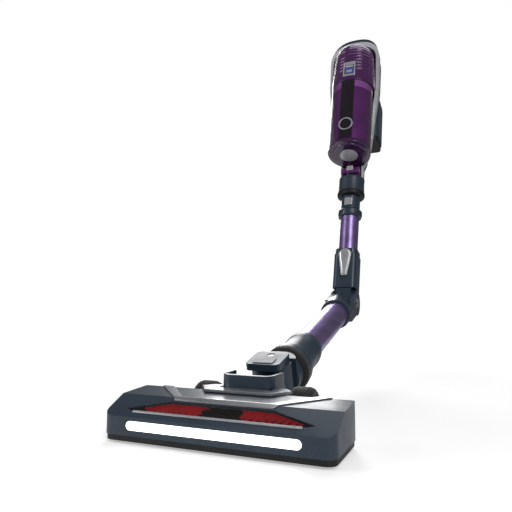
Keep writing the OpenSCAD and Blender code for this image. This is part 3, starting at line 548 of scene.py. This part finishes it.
plan = {
    "head_shell": (3.0, "casing_slate"), "sole_plate": (0.8, None), "hump_cover": (2.6, "casing_slate"),
    "hump_skirt": (0.9, "trim_silver"), "head_trim": (0.5, "trim_silver"), "window_trim": (0.35, None),
    "pivot_bracket": (1.2, None), "neck_body": (1.4, None), "elbow_yoke": (2.2, None),
    "elbow_plate": (0.4, "shaded_plate_silver"), "collar_button": (0.9, None), "knee_lower": (1.6, None),
    "knee_upper": (1.8, None), "wand_collar": (0.8, None),
    "wand_button": (1.0, None), "silver_frame": (1.8, "frame_silver"), "main_housing": (2.2, None),
    "handle_grip": (0.5, None), "trigger": (1.4, None), "mode_button": (0.7, None),
    "battery_case": (1.6, None), "battery_foot": (1.4, None), "battery_button": (0.7, None),
    "bin_lid": (1.6, "lid_purple"), "bin_latch": (0.8, None), "rear_lip": (0.5, None),
    "caster_left": (0.8, "rubber"), "caster_right": (0.8, "rubber"), "display": (1.2, None),
}
for solid, (edge, material) in plan.items():
    softened(solid, edge, material)
print("softened", len(plan), "solids")

# %% [markdown]
# Round pieces, such as tubes, rings and the dome, are turned: an outline of radius and height is
# spun round an axis, like work on a lathe. Blender has a Screw modifier for this, but a short loop
# closes the seam at once and gives the number of steps exactly.

# %% Turned pieces
def new_piece(name, shape, place, angle=32):
    """Makes a clean mesh from a bmesh that was built in a place's own millimetres."""
    bmesh.ops.remove_doubles(shape, verts=shape.verts, dist=0.001)
    bmesh.ops.dissolve_degenerate(shape, edges=shape.edges, dist=0.0005)
    bmesh.ops.recalc_face_normals(shape, faces=shape.faces)
    mesh = bpy.data.meshes.new(name)
    shape.to_mesh(mesh)
    shape.free()
    mesh.transform(place)
    smooth_mesh(mesh, angle)
    return link(bpy.data.objects.new(name, mesh))


def turned(name, outline, place, steps=96, angle=32):
    shape = bmesh.new()
    rings = []
    for k in range(steps):
        a = 2 * math.pi * k / steps
        rings.append([shape.verts.new((r * math.cos(a), r * math.sin(a), z)) for r, z in outline])
    count = len(outline)
    for k in range(steps):
        here, after = rings[k], rings[(k + 1) % steps]
        for i in range(count):
            j = (i + 1) % count
            shape.faces.new((here[i], after[i], after[j], here[j]))
    return new_piece(name, shape, place, angle)


# %% [markdown]
# ## The two tubes
# Each tube is a plain drawn tube with a wall of about a millimetre. Its ends are hidden in the
# collars, so only its length, its radius and the fine chamfer where it enters a collar matter.

# %% Tubes
def turned_tube(solid, place, finish_name):
    low, high = reach(solid, place)
    r, wall = high.x, 1.2
    outline = [(r - wall, low.z), (r - 0.3, low.z), (r, low.z + 0.3), (r, high.z - 0.3), (r - 0.3, high.z),
               (r - wall, high.z)]
    tube = turned(solid + "_drawn", outline, place, 128)
    return dress(tube, body_of_node[solid], slot_of_node[solid], finish_name, [solid])


turned_tube("lower_tube", lower, "lower_anodised")
turned_tube("upper_tube", upper, "upper_anodised")
tube_radii = [round(reach(name, place)[1].x, 1)
              for name, place in (("lower_tube", lower), ("upper_tube", upper))]
print("tube radii", tube_radii, "mm")

# %% [markdown]
# ## What repeats
# Studs round a ring, ribs along a strip and ribs round a drum are all one thing many times over.
# Geometry Nodes place copies on a circle or on a line, and keep the count, radius and size as
# named inputs, so a change is one number. The tree ends by making the copies real, because the
# finished piece has to be a plain mesh.

# %% A tree for studs on a circle and a tree for ribs on a line
def repeat_tree(name, inputs):
    tree = bpy.data.node_groups.new(name, "GeometryNodeTree")
    tree.is_modifier = True
    tree.interface.new_socket("Geometry", in_out="INPUT", socket_type="NodeSocketGeometry")
    for label, kind, value in inputs:
        socket = tree.interface.new_socket(label, in_out="INPUT", socket_type=kind)
        if value is not None:
            socket.default_value = value
    tree.interface.new_socket("Geometry", in_out="OUTPUT", socket_type="NodeSocketGeometry")
    return tree, tree.nodes.new("NodeGroupInput"), tree.nodes.new("NodeGroupOutput")


def end_tree(tree, given, result, instances):
    real = node(tree, "GeometryNodeRealizeInstances", {0: instances})
    painted = node(tree, "GeometryNodeSetMaterial", {"Geometry": real.outputs[0],
                                                     "Material": given.outputs["Material"]})
    tree.links.new(painted.outputs[0], result.inputs[0])


studs_on_circle, given, result = repeat_tree("studs_on_circle", [
    ("Count", "NodeSocketInt", 36), ("Radius", "NodeSocketFloat", 30.0), ("Height", "NodeSocketFloat", 0.0),
    ("Size", "NodeSocketVector", (1.0, 1.0, 1.0)), ("Material", "NodeSocketMaterial", None)])
circle = node(studs_on_circle, "GeometryNodeMeshCircle", {"Vertices": given.outputs["Count"],
                                                          "Radius": given.outputs["Radius"]})
lift = node(studs_on_circle, "ShaderNodeCombineXYZ", {"Z": given.outputs["Height"]})
raised = node(studs_on_circle, "GeometryNodeSetPosition", {"Geometry": circle.outputs[0],
                                                           "Offset": lift.outputs[0]})
spot = node(studs_on_circle, "GeometryNodeInputPosition")
flat = node(studs_on_circle, "ShaderNodeVectorMath", {0: spot.outputs[0], 1: (1, 1, 0)}, operation="MULTIPLY")
outward = node(studs_on_circle, "FunctionNodeAlignRotationToVector", {"Vector": flat.outputs[0]}, axis="X")
stud = node(studs_on_circle, "GeometryNodeMeshCube", {"Size": given.outputs["Size"]})
copies = node(studs_on_circle, "GeometryNodeInstanceOnPoints", {"Points": raised.outputs[0],
                                                                "Instance": stud.outputs[0],
                                                                "Rotation": outward.outputs[0]})
end_tree(studs_on_circle, given, result, copies.outputs[0])

ribs_on_line, given, result = repeat_tree("ribs_on_line", [
    ("Count", "NodeSocketInt", 5), ("Start", "NodeSocketVector", (0, 0, 0)),
    ("Step", "NodeSocketVector", (0, 0, 2)),
    ("Size", "NodeSocketVector", (1.0, 1.0, 1.0)), ("Material", "NodeSocketMaterial", None)])
row = node(ribs_on_line, "GeometryNodeMeshLine", {"Count": given.outputs["Count"],
                                                  "Start Location": given.outputs["Start"],
                                                  "Offset": given.outputs["Step"]}, mode="OFFSET")
rib = node(ribs_on_line, "GeometryNodeMeshCube", {"Size": given.outputs["Size"]})
copies = node(ribs_on_line, "GeometryNodeInstanceOnPoints", {"Points": row.outputs[0],
                                                             "Instance": rib.outputs[0]})
end_tree(ribs_on_line, given, result, copies.outputs[0])


def grown(name, tree, values, place, body, slot, material=None, stands_for=(), soft=0.0):
    """Runs a tree once, keeps its result as a plain mesh and puts it in its place."""
    holder = link(bpy.data.objects.new(name + "_maker", bpy.data.meshes.new(name + "_maker")))
    maker = holder.modifiers.new("maker", "NODES")
    maker.node_group = tree
    sockets = {s.name: s.identifier for s in tree.interface.items_tree if s.in_out == "INPUT"}
    for label, value in {**values, "Material": finish[material or slot]}.items():
        maker[sockets[label]] = value
    graph = bpy.context.evaluated_depsgraph_get()
    mesh = bpy.data.meshes.new_from_object(holder.evaluated_get(graph), depsgraph=graph)
    bpy.data.objects.remove(holder)
    mesh.name = name
    mesh.transform(place)
    smooth_mesh(mesh, 35)
    obj = link(bpy.data.objects.new(name, mesh))
    if soft:
        round_edges(obj, soft, 2)
    return dress(obj, body, slot, material, stands_for)


print("trees", studs_on_circle.name, ribs_on_line.name)

# %% [markdown]
# ## The brush
# Behind the dark window a roller carries stiff red bristles in slanting rows, so that they sweep dust
# towards the middle. Hair particles could do it, but they don't export. A spiral curve for each row,
# with a short tapered tuft on each of its points, is a plain mesh and keeps the slant.

# %% Bristles
tufts_on_spiral, given, result = repeat_tree("tufts_on_spiral", [
    ("Rows", "NodeSocketInt", 6), ("Count", "NodeSocketInt", 60), ("Core", "NodeSocketFloat", 11.0),
    ("Length", "NodeSocketFloat", 90.0), ("Turns", "NodeSocketFloat", 0.6), ("Tuft", "NodeSocketFloat", 7.0),
    ("Start", "NodeSocketFloat", 0.0), ("Material", "NodeSocketMaterial", None)])
spiral = node(tufts_on_spiral, "GeometryNodeCurveSpiral", {
    "Resolution": 48, "Rotations": given.outputs["Turns"], "Start Radius": given.outputs["Core"],
    "End Radius": given.outputs["Core"], "Height": given.outputs["Length"]})
spots = node(tufts_on_spiral, "GeometryNodeResampleCurve", {"Curve": spiral.outputs[0],
                                                            "Count": given.outputs["Count"]})
spot = node(tufts_on_spiral, "GeometryNodeInputPosition")
flat = node(tufts_on_spiral, "ShaderNodeVectorMath", {0: spot.outputs[0], 1: (1, 1, 0)}, operation="MULTIPLY")
outward = node(tufts_on_spiral, "FunctionNodeAlignRotationToVector", {"Vector": flat.outputs[0]}, axis="Z")
tuft = node(tufts_on_spiral, "GeometryNodeMeshCone", {"Vertices": 5, "Radius Top": 1.3, "Radius Bottom": 0.7,
                                                      "Depth": given.outputs["Tuft"]})
wild = node(tufts_on_spiral, "FunctionNodeRandomValue", {"Seed": 11}, data_type="FLOAT_VECTOR")
wild.inputs[0].default_value, wild.inputs[1].default_value = (0.9, 0.9, 0.93), (1.15, 1.15, 1.0)
copies = node(tufts_on_spiral, "GeometryNodeInstanceOnPoints", {
    "Points": spots.outputs[0], "Instance": tuft.outputs[0], "Rotation": outward.outputs[0],
    "Scale": wild.outputs[0]})
one_row = node(tufts_on_spiral, "GeometryNodeRealizeInstances", {0: copies.outputs[0]})
rows = node(tufts_on_spiral, "GeometryNodeMeshLine", {"Count": given.outputs["Rows"], "Offset": (0, 0, 0)},
            mode="OFFSET")
number = node(tufts_on_spiral, "GeometryNodeInputIndex")
share = node(tufts_on_spiral, "ShaderNodeMath", {0: number.outputs[0], 1: given.outputs["Rows"]},
             operation="DIVIDE")
around = node(tufts_on_spiral, "ShaderNodeMath", {0: share.outputs[0], 1: 2 * math.pi}, operation="MULTIPLY")
turn = node(tufts_on_spiral, "ShaderNodeCombineXYZ", {"Z": around.outputs[0]})
begin = node(tufts_on_spiral, "ShaderNodeCombineXYZ", {"Z": given.outputs["Start"]})
placed = node(tufts_on_spiral, "GeometryNodeSetPosition", {"Geometry": rows.outputs[0],
                                                           "Position": begin.outputs[0]})
all_rows = node(tufts_on_spiral, "GeometryNodeInstanceOnPoints", {
    "Points": placed.outputs[0], "Instance": one_row.outputs[0], "Rotation": turn.outputs[0]})
end_tree(tufts_on_spiral, given, result, all_rows.outputs[0])

roller = axle_frame(joints["roller_spin"]["pos_m"])
brush_low, brush_high = reach("roller_bristles", roller)
core_r = 11.0
bristle_side = brush_high.z - 8
for name, turns, start in (("bristles_left", 0.75, brush_low.z + 14), ("bristles_right", 0.75, 24)):
    grown(name, tufts_on_spiral, {
        "Rows": 11, "Count": 110, "Core": core_r - 0.4, "Length": bristle_side - 30, "Turns": turns,
        "Tuft": brush_high.x - core_r, "Start": start}, roller, "roller", "red_bristle",
        stands_for=["roller_bristles"])
print("bristle rows of", round(bristle_side), "mm on each side")

# %% [markdown]
# ## The wheels
# The rear wheels are soft rubber tyres on a hard hub. The tyre has shallow cross ribs for grip. A
# turned outline gives the crowned tread and the dished side, and a ring of low ribs gives the hub
# its spokes. Ribs never stand past the tyre, because the wheel rests on the floor.

# %% Rear wheels
for side_name, sign in (("left", -1), ("right", 1)):
    solid = f"wheel_{side_name}"
    axle = axle_frame(joints[f"wheel_{side_name}_roll"]["pos_m"])
    low, high = reach(solid, axle)
    r, near, far = high.x, low.z, high.z
    width = far - near
    outline = [(5, near), (r - 6, near), (r - 3.5, near + 0.8), (r - 1.4, near + 2.6), (r - 0.3, near + 5.6)]
    grooves = 5
    groove_depth = 0.9
    for k in range(grooves):
        at = near + 6.4 + k * (width - 12.8) / grooves
        step = (width - 12.8) / grooves
        outline += [(r, at + 0.2), (r, at + step * 0.62),
                    (r - groove_depth, at + step * 0.7), (r - groove_depth, at + step * 0.92)]
    outline += [(r, far - 6.2), (r - 0.3, far - 5.6), (r - 1.4, far - 2.6),
                (r - 3.5, far - 0.8), (r - 6, far), (r - 8, far),
                (r - 8.6, far - 1.6), (9.5, far - 2.4), (9, far - 0.5), (5, far - 0.5)]
    tyre = turned(f"tyre_{side_name}", outline, axle, 96)
    dress(tyre, solid, "rubber", stands_for=[solid])
    outer_face = far - 1.9 if sign > 0 else far - 1.9
    grown(f"hub_spokes_{side_name}", studs_on_circle,
          {"Count": 9, "Radius": (r + 1.5) / 2, "Height": outer_face, "Size": (r - 19, 1.4, 1.0)},
          axle, solid, "black_plastic", soft=0.25)
print("tyre width", round(width, 1), "mm")

# %% [markdown]
# ## The swivel ring
# Where the elbow meets the lower collar there is a black ring with rows of small raised dots, which
# give a grip when the tube is pulled out of the head. The ring is turned, and the dots are studs on
# circles, shifted by half a step from row to row.

# %% Dotted ring
low, high = reach("dotted_ring", lower)
ring_r, s0, s1 = high.x, low.z, high.z
bore = 16.5
ring = turned("swivel_ring", [(bore, s0), (ring_r - 5.5, s0), (ring_r - 4.6, s0 + 0.6),
                              (ring_r - 1.4, s0 + 3.2),
                              (ring_r - 0.5, s0 + 4.6), (ring_r - 0.5, s1 - 1.2), (ring_r - 1.2, s1 - 0.3),
                              (ring_r - 2, s1), (bore, s1)], lower, 128)
dress(ring, "lower_wand", "rubber", stands_for=["dotted_ring"])
dots_round = 62
dot_rows = (6.1, 8.7, 11.3)
for k, height in enumerate(dot_rows):
    grown(f"ring_dots_{k}", studs_on_circle,
          {"Count": dots_round, "Radius": ring_r - 0.35, "Height": s0 + height, "Size": (0.7, 1.5, 1.2)},
          lower @ Matrix.Rotation(math.pi / dots_round * (k % 2), 4, "Z"), "lower_wand", "rubber",
          "dot_plastic", soft=0.2)
grown("ring_teeth", studs_on_circle,
      {"Count": 48, "Radius": ring_r - 4.4, "Height": s0 + 1.4, "Size": (2.2, 1.6, 1.6)},
      lower, "lower_wand", "rubber", "black_plastic", soft=0.2)
print("ring", round(ring_r, 1), "mm in radius with", dots_round * len(dot_rows), "dots")

# %% [markdown]
# ## The lower collar
# The collar grips the thick tube and steps down twice: a wide band next to the ring, a shallow waist
# and a bevelled lip at the tube. Turning it again with rounded steps gives the bright lines of light
# that a moulded step shows.

# %% Lower collar
low, high = reach("lower_collar", lower)
tube_r = reach("lower_tube", lower)[1].x
a, b = low.z, high.z
wide, lip = high.x, tube_r + 2.0
collar = turned("stepped_collar", [
    (tube_r - 1.5, a), (wide - 0.8, a), (wide, a + 0.8), (wide, a + 11.5), (wide - 0.5, a + 12.8),
    (tube_r + 7.0, a + 20), (tube_r + 6.0, a + 23), (tube_r + 5.6, a + 26), (tube_r + 5.0, a + 44),
    (tube_r + 4.8, b - 22), (tube_r + 5.2, b - 20.5), (tube_r + 5.2, b - 14), (tube_r + 4.7, b - 12.5),
    (tube_r + 4.2, b - 5), (tube_r + 2.8, b - 1.2), (lip, b), (tube_r + 0.1, b), (tube_r + 0.1, b - 8),
    (tube_r - 1.5, b - 8)], lower, 128)
dress(collar, "lower_wand", "slate_plastic", stands_for=["lower_collar"])
print("collar", round(b - a), "mm long")

# %% [markdown]
# ## The hump's silver lip and the rib under the window
# A thin silver lip runs round the top of the hump over the neck's barrel. It follows the hump's plan, so it
# is a strip swept along a rounded corner, one side and the other. Under the dark window a grey rib
# parts the brush's two halves; it is curved, so it is a short swept bar too.

# %% Lip and rib
def swept(name, path, half_width, z_low, z_high, place, soft=0.3):
    """A bar with a flat section, swept along a path that lies level."""
    shape = bmesh.new()
    rings = []
    for i, (x, y) in enumerate(path):
        before, after = path[max(0, i - 1)], path[min(len(path) - 1, i + 1)]
        along = Vector((after[0] - before[0], after[1] - before[1])).normalized()
        side = Vector((-along.y, along.x)) * half_width
        rings.append([shape.verts.new(point) for point in (
            (x + side.x, y + side.y, z_low), (x - side.x, y - side.y, z_low),
            (x - side.x, y - side.y, z_high), (x + side.x, y + side.y, z_high))])
    for here, after in zip(rings, rings[1:]):
        for i in range(4):
            j = (i + 1) % 4
            shape.faces.new((here[i], here[j], after[j], after[i]))
    shape.faces.new(rings[0])
    shape.faces.new(rings[-1])
    bar = new_piece(name, shape, place, 40)
    round_edges(bar, soft, 2)
    return bar


hump_low, hump_high = reach("hump_cover", floor_place)
hump_hw, hump_front, corner = hump_high.x - 1.4, hump_low.y + 1.4, 14.6
path = [(-hump_hw, hump_high.y - 4)]
for centre_x, first in ((-hump_hw + corner, 180), (hump_hw - corner, 270)):
    path += [(centre_x + corner * math.cos(math.radians(first + 15 * k)),
              hump_front + corner + corner * math.sin(math.radians(first + 15 * k))) for k in range(7)]
path.append((hump_hw, hump_high.y - 4))
lip = swept("hump_lip", path, 1.1, hump_high.z - 0.9, hump_high.z + 0.5, floor_place)
dress(lip, "head", "silver_paint", "frame_silver")
rib_path = [(-7 + 0.9 * math.sin(k / 8 * math.pi), 12.5 + k * 1.9) for k in range(9)]
rib = swept("window_rib", rib_path, 1.5, 24, 26.3, floor_place)
dress(rib, "head", "slate_plastic", "motor_metal")
print("lip and rib on the head")

# %% [markdown]
# ## The knee lever
# A silver lever unlocks the knee. It is a tongue with a round top that narrows downwards into its slot,
# with four low ribs for the thumb. A plain plate would look flat, so the pad is dished: the outline is
# filled in rings, and the inner rings sink.

# %% Lever
low, high = reach("knee_lever", upper)
pad_r = high.x
face = -low.y
thick = low.y - high.y
pad_centre = high.z - pad_r


def lever_edge(inset, steps=32):
    """The lever's outline, drawn in by an inset: a round top on a tongue that narrows downwards."""
    r = pad_r - inset
    points = [(r * math.cos(math.pi * k / steps), pad_centre + r * math.sin(math.pi * k / steps))
              for k in range(steps + 1)]
    tip, foot = 6.4 - inset * 0.9, low.z + inset + 0.1
    return points + [(-tip - 0.2, foot + 2), (-tip + 1.2, foot), (tip - 1.2, foot), (tip + 0.2, foot + 2)]


shape = bmesh.new()
layers = [(0.0, face + thick), (0.0, face - 0.9), (0.35, face - 0.25), (1.0, face), (2.6, face - 0.2),
          (3.6, face - 0.9), (4.6, face - 1.1)]
loops = [[shape.verts.new((x, -t, z)) for x, z in lever_edge(inset)] for inset, t in layers]
for lower_loop, upper_loop in zip(loops, loops[1:]):
    for i in range(len(lower_loop)):
        j = (i + 1) % len(lower_loop)
        shape.faces.new((lower_loop[i], lower_loop[j], upper_loop[j], upper_loop[i]))
shape.faces.new(loops[-1])
shape.faces.new(loops[0])
lever = new_piece("thumb_lever", shape, upper, 40)
dress(lever, "knee_lever", "silver_paint", stands_for=["knee_lever"])
grown("lever_ribs", ribs_on_line,
      {"Count": 4, "Start": (0, -face + 0.6, pad_centre - 6), "Step": (0, 0, 3), "Size": (11, 1.0, 1.1)},
      upper, "knee_lever", "silver_paint", soft=0.35)
print("lever pad", round(pad_r, 1), "mm in radius")

# %% [markdown]
# ## The sleeve and its ribbed ring
# The hand unit's foot is a sleeve that the wand plugs into. Its lowest part is a black ring with fine
# upright ribs; above it the sleeve is smooth and slightly waisted. Two turned pieces and one circle
# of ribs stand for the single solid.

# %% Sleeve
low, high = reach("inlet_sleeve", hand)
ring_top = 9.5
outer = high.x
hole = 19.7
grip_ring = turned("foot_ring", [(hole, 0), (outer - 2.2, 0), (outer - 1.0, 0.8), (outer - 0.7, 2.0),
                                 (outer - 0.7, ring_top - 1.5), (outer - 1.2, ring_top), (hole, ring_top)],
                   hand, 128)
dress(grip_ring, "upper_wand", "rubber", "black_plastic", ["inlet_sleeve"])
grown("foot_ring_ribs", studs_on_circle,
      {"Count": 72, "Radius": outer - 0.6, "Height": ring_top / 2 + 0.4, "Size": (1.0, 1.3, ring_top - 4)},
      hand, "upper_wand", "rubber", "black_plastic", soft=0.2)
top = high.z
sleeve = turned("waisted_sleeve", [
    (hole, ring_top + 0.05), (outer - 1.6, ring_top + 0.05), (outer - 1.1, ring_top + 0.6),
    (outer - 1.5, ring_top + 6), (outer - 2.1, top - 14), (outer - 1.9, top - 6), (outer - 1.6, top - 1),
    (outer - 2.0, top), (hole, top)], hand, 128)
dress(sleeve, "upper_wand", "slate_plastic", stands_for=["inlet_sleeve"])
print("sleeve", round(top), "mm tall")

# %% [markdown]
# ## The grooved dome
# The motor sits under a glossy purple dome with nine steps that run round it, like shingles. Bump
# would vanish at the outline, so the steps are in the mesh: the radius falls a little from step to
# step. The dome is a grid of angle and height, cut off where it meets the silver frame, and
# thickened inwards.

# %% Dome
low, high = reach("motor_dome", hand)
axis_y = low.y + high.x
dome_r = high.x
base_s, top_s = low.z, high.z
flat_s = base_s + 76
power = 0.8
tilt = math.radians(6.3)
step_height = (top_s - base_s) * 0.073
steps_from, steps_to = base_s + 22, base_s + 22 + 9 * step_height


def frame_back(s):
    """How far forward the back of the leaning silver frame is at a height."""
    return frame_back_0 + (s - base_s) * math.tan(tilt)


dome_points = [hand.inverted() @ v.co for v in frame["nodes"]["motor_dome"].data.vertices]
frame_back_0 = -max(p.y for p in dome_points if p.z < base_s + 1)
shape = bmesh.new()
around_steps, up_steps = 96, 150
grid = []
for j in range(up_steps + 1):
    u = j / up_steps
    s = base_s + (flat_s - base_s) * u / 0.5 if u < 0.5 else None
    if s is not None:
        r = dome_r - 2 * min(1, (s - base_s) / (flat_s - base_s))
        r = min(r, dome_r - 0.35)
    else:
        a = (u - 0.5) / 0.5 * math.pi / 2
        r = (dome_r - 2.2) * max(0.0, math.cos(a)) ** power
        s = flat_s + (top_s - 0.4 - flat_s) * math.sin(a) ** power
    if steps_from < s < steps_to:
        within = ((s - steps_from) / step_height) % 1
        r -= 1.15 * within ** 3 if r > 12 else 0
    line = []
    r = max(r, 0.4)
    depth = -axis_y - frame_back(s)
    reach_back = math.pi if r < depth else math.acos(-depth / r) if -depth / r > -1 else math.pi
    for i in range(around_steps + 1):
        phi = -reach_back + 2 * reach_back * i / around_steps
        line.append(shape.verts.new((r * math.sin(phi), axis_y - r * math.cos(phi), s)))
    grid.append(line)
for lower_line, upper_line in zip(grid, grid[1:]):
    for i in range(around_steps):
        shape.faces.new((lower_line[i], lower_line[i + 1], upper_line[i + 1], upper_line[i]))
window_half, window_low, window_high = 13.4, base_s + 9.4, base_s + 47.6
doomed = [f for f in shape.faces
          if all(abs(v.co.x) < window_half and v.co.y < axis_y and window_low < v.co.z < window_high
                 for v in f.verts)]
bmesh.ops.delete(shape, geom=doomed, context="FACES")
dome = new_piece("shingled_dome", shape, hand, 50)
thick = dome.modifiers.new("wall", "SOLIDIFY")
thick.thickness = 2.2 * MM
thick.offset = -1
dress(dome, "upper_wand", "purple_gloss", stands_for=["motor_dome"])
print("dome steps", 9, "of", round(step_height, 1), "mm")

# %% [markdown]
# ## The display
# The display is a small window: a silver bezel, black glass with a glowing panel behind it, and a pale
# strip above. It shows no words, only three bars, as a charge gauge does.

# %% Display
def plate(name, half, s_low, s_high, t_back, t_front, place, corner=1.0):
    """A thin plate across the front, with rounded corners and a soft front edge."""
    shape = bmesh.new()
    outline = []
    arcs = ((half - corner, s_high - corner, 0), (-half + corner, s_high - corner, 90),
            (-half + corner, s_low + corner, 180), (half - corner, s_low + corner, 270))
    for x, z, first in arcs:
        for k in range(5):
            a = math.radians(first + 90 * k / 4)
            outline.append((x + corner * math.cos(a), z + corner * math.sin(a)))
    rings = [[shape.verts.new((x, -t, z)) for x, z in outline] for t in (t_back, t_front)]
    for i in range(len(outline)):
        j = (i + 1) % len(outline)
        shape.faces.new((rings[0][i], rings[0][j], rings[1][j], rings[1][i]))
    shape.faces.new(rings[0])
    shape.faces.new(rings[1])
    return new_piece(name, shape, place)


low, high = reach("display", hand)
half, bezel = high.x, -low.y
glass_front = bezel - 1.3
s_low, s_high = low.z + 5.6, high.z - 8.4
glass_half, panel_half = half - 3.1, half - 4.6
glass_face, panel_face = glass_front - 0.1, glass_front + 0.1
glass = plate("screen_glass_plate", glass_half, s_low, s_high, glass_front - 1.2, glass_face, hand)
dress(glass, "upper_wand", "silver_paint", "screen_glass")
panel = plate("screen_panel", panel_half, s_low + 1.6, s_high - 6.5, glass_face, panel_face, hand, 0.8)
dress(panel, "upper_wand", "silver_paint", "display_glow")
strip = plate("screen_strip", panel_half, s_high - 5.2, s_high - 1.6, glass_face, panel_face, hand, 0.8)
dress(strip, "upper_wand", "silver_paint", "display_pale")
grown("screen_bars", ribs_on_line,
      {"Count": 3, "Start": (-4.4, -glass_front - 0.12, s_low + 8), "Step": (4.4, 0, 0),
       "Size": (2.6, 0.2, 6)},
      hand, "upper_wand", "silver_paint", "display_pale")
print("screen", round(2 * glass_half, 1), "by", round(s_high - s_low, 1), "mm")

# %% [markdown]
# ## The clear bin
# The bin is a clear purple cup. Its own wall stays the frame's solid, because its bore, its inlet and
# its latch pocket are exact. What makes it read as a real bin is what shows through it: the ribbed
# filter shroud, a pale collar at the top, a dark stripe down the front and a ring badge.

# %% Bin
frame["nodes"]["dust_bin"].data.materials.clear()
frame["nodes"]["dust_bin"].data.materials.append(finish["clear_purple"])
low, high = reach("dust_bin", hand)
bin_r = high.x
bin_y = low.y + bin_r
bin_top = high.z
bin_place = hand @ Matrix.Translation((0, bin_y, 0))
lid_high = reach("bin_lid", hand)[1]


def wrapped(name, radius, thickness, half_width, s_low, s_high, place, columns=24, rows=2):
    """A strip that follows the front of a round wall."""
    shape = bmesh.new()
    half_angle = half_width / radius
    skins = []
    for r in (radius, radius + thickness):
        skins.append([[shape.verts.new((r * math.sin(a), -r * math.cos(a),
                                        s_low + (s_high - s_low) * j / rows))
                       for a in (-half_angle + 2 * half_angle * i / columns for i in range(columns + 1))]
                      for j in range(rows + 1)])
    for skin in skins:
        for j in range(rows):
            for i in range(columns):
                shape.faces.new((skin[j][i], skin[j][i + 1], skin[j + 1][i + 1], skin[j + 1][i]))
    inner, outer = skins
    for j in range(rows):
        for i in (0, columns):
            shape.faces.new((inner[j][i], inner[j + 1][i], outer[j + 1][i], outer[j][i]))
    for i in range(columns):
        for j in (0, rows):
            shape.faces.new((inner[j][i], inner[j][i + 1], outer[j][i + 1], outer[j][i]))
    return new_piece(name, shape, place, 40)


moulded("stripe_black", (0.008, 0.003, 0.010), 0.08, 0.16, grain=500, depth=0.006, contrast=0.3, coat=1.0)
stripe = wrapped("front_stripe", bin_r + 0.05, 0.35, 15, lid_high.z + 0.6, bin_top - 0.6, bin_place)
dress(stripe, "bin", "clear_purple", "stripe_black")
clear_plastic("collar_purple", (0.24, 0.065, 0.29), 0.85, 0.1, 0.05)
band_step = 5.6
for k in range(3):
    rise = bin_top + band_step * k
    band = turned(f"bin_band_{k}", [(bin_r - 0.2, rise - 18), (bin_r + 0.25, rise - 17.7),
                                    (bin_r + 0.3, rise - 13.3), (bin_r - 0.2, rise - 13)],
                  bin_place, 96)
    dress(band, "bin", "clear_purple", "collar_purple")
shroud_low, shroud_high = reach("bin_inner", hand)
shroud_r = 29.2
grown("shroud_ribs", studs_on_circle,
      {"Count": 40, "Radius": shroud_r, "Height": (shroud_low.z + 52 + shroud_high.z - 10) / 2,
       "Size": (1.6, 1.5, shroud_high.z - 10 - shroud_low.z - 54)},
      bin_place, "bin", "black_plastic", soft=0.3)
gasket_bore = 36
gasket = turned("dome_gasket", [(gasket_bore, bin_top + 0.6), (dome_r - 1.6, bin_top + 0.6),
                                (dome_r - 0.8, bin_top + 1.4), (dome_r - 0.8, base_s - 0.1),
                                (gasket_bore, base_s - 0.1)],
                hand @ Matrix.Translation((0, axis_y, 0)), 96)
dress(gasket, "upper_wand", "purple_gloss", "dark_gasket")
print("bin radius", round(bin_r, 1), "mm")

# %% [markdown]
# ## Ring badge and lid badge
# A thin silver ring lies on the stripe, and a plain oval disc marks the lid. Both are blank here. The frame
# already has them as solids; its bin_trim solid is copied with softer edges so that it catches the light.

# %% Badges
softened("bin_trim", 0.35)

# %% [markdown]
# ## The last solids
# Parts that are inside, or already right, keep the frame's own shapes and only get a finish.

# %% Finishes for the rest
kept = 0
for name, obj in frame["nodes"].items():
    if obj.hide_render or name == "dust_bin":
        continue
    obj.data.materials.clear()
    obj.data.materials.append(finish[slot_of_node[name]])
    kept += 1
print("solids kept as they are", kept)
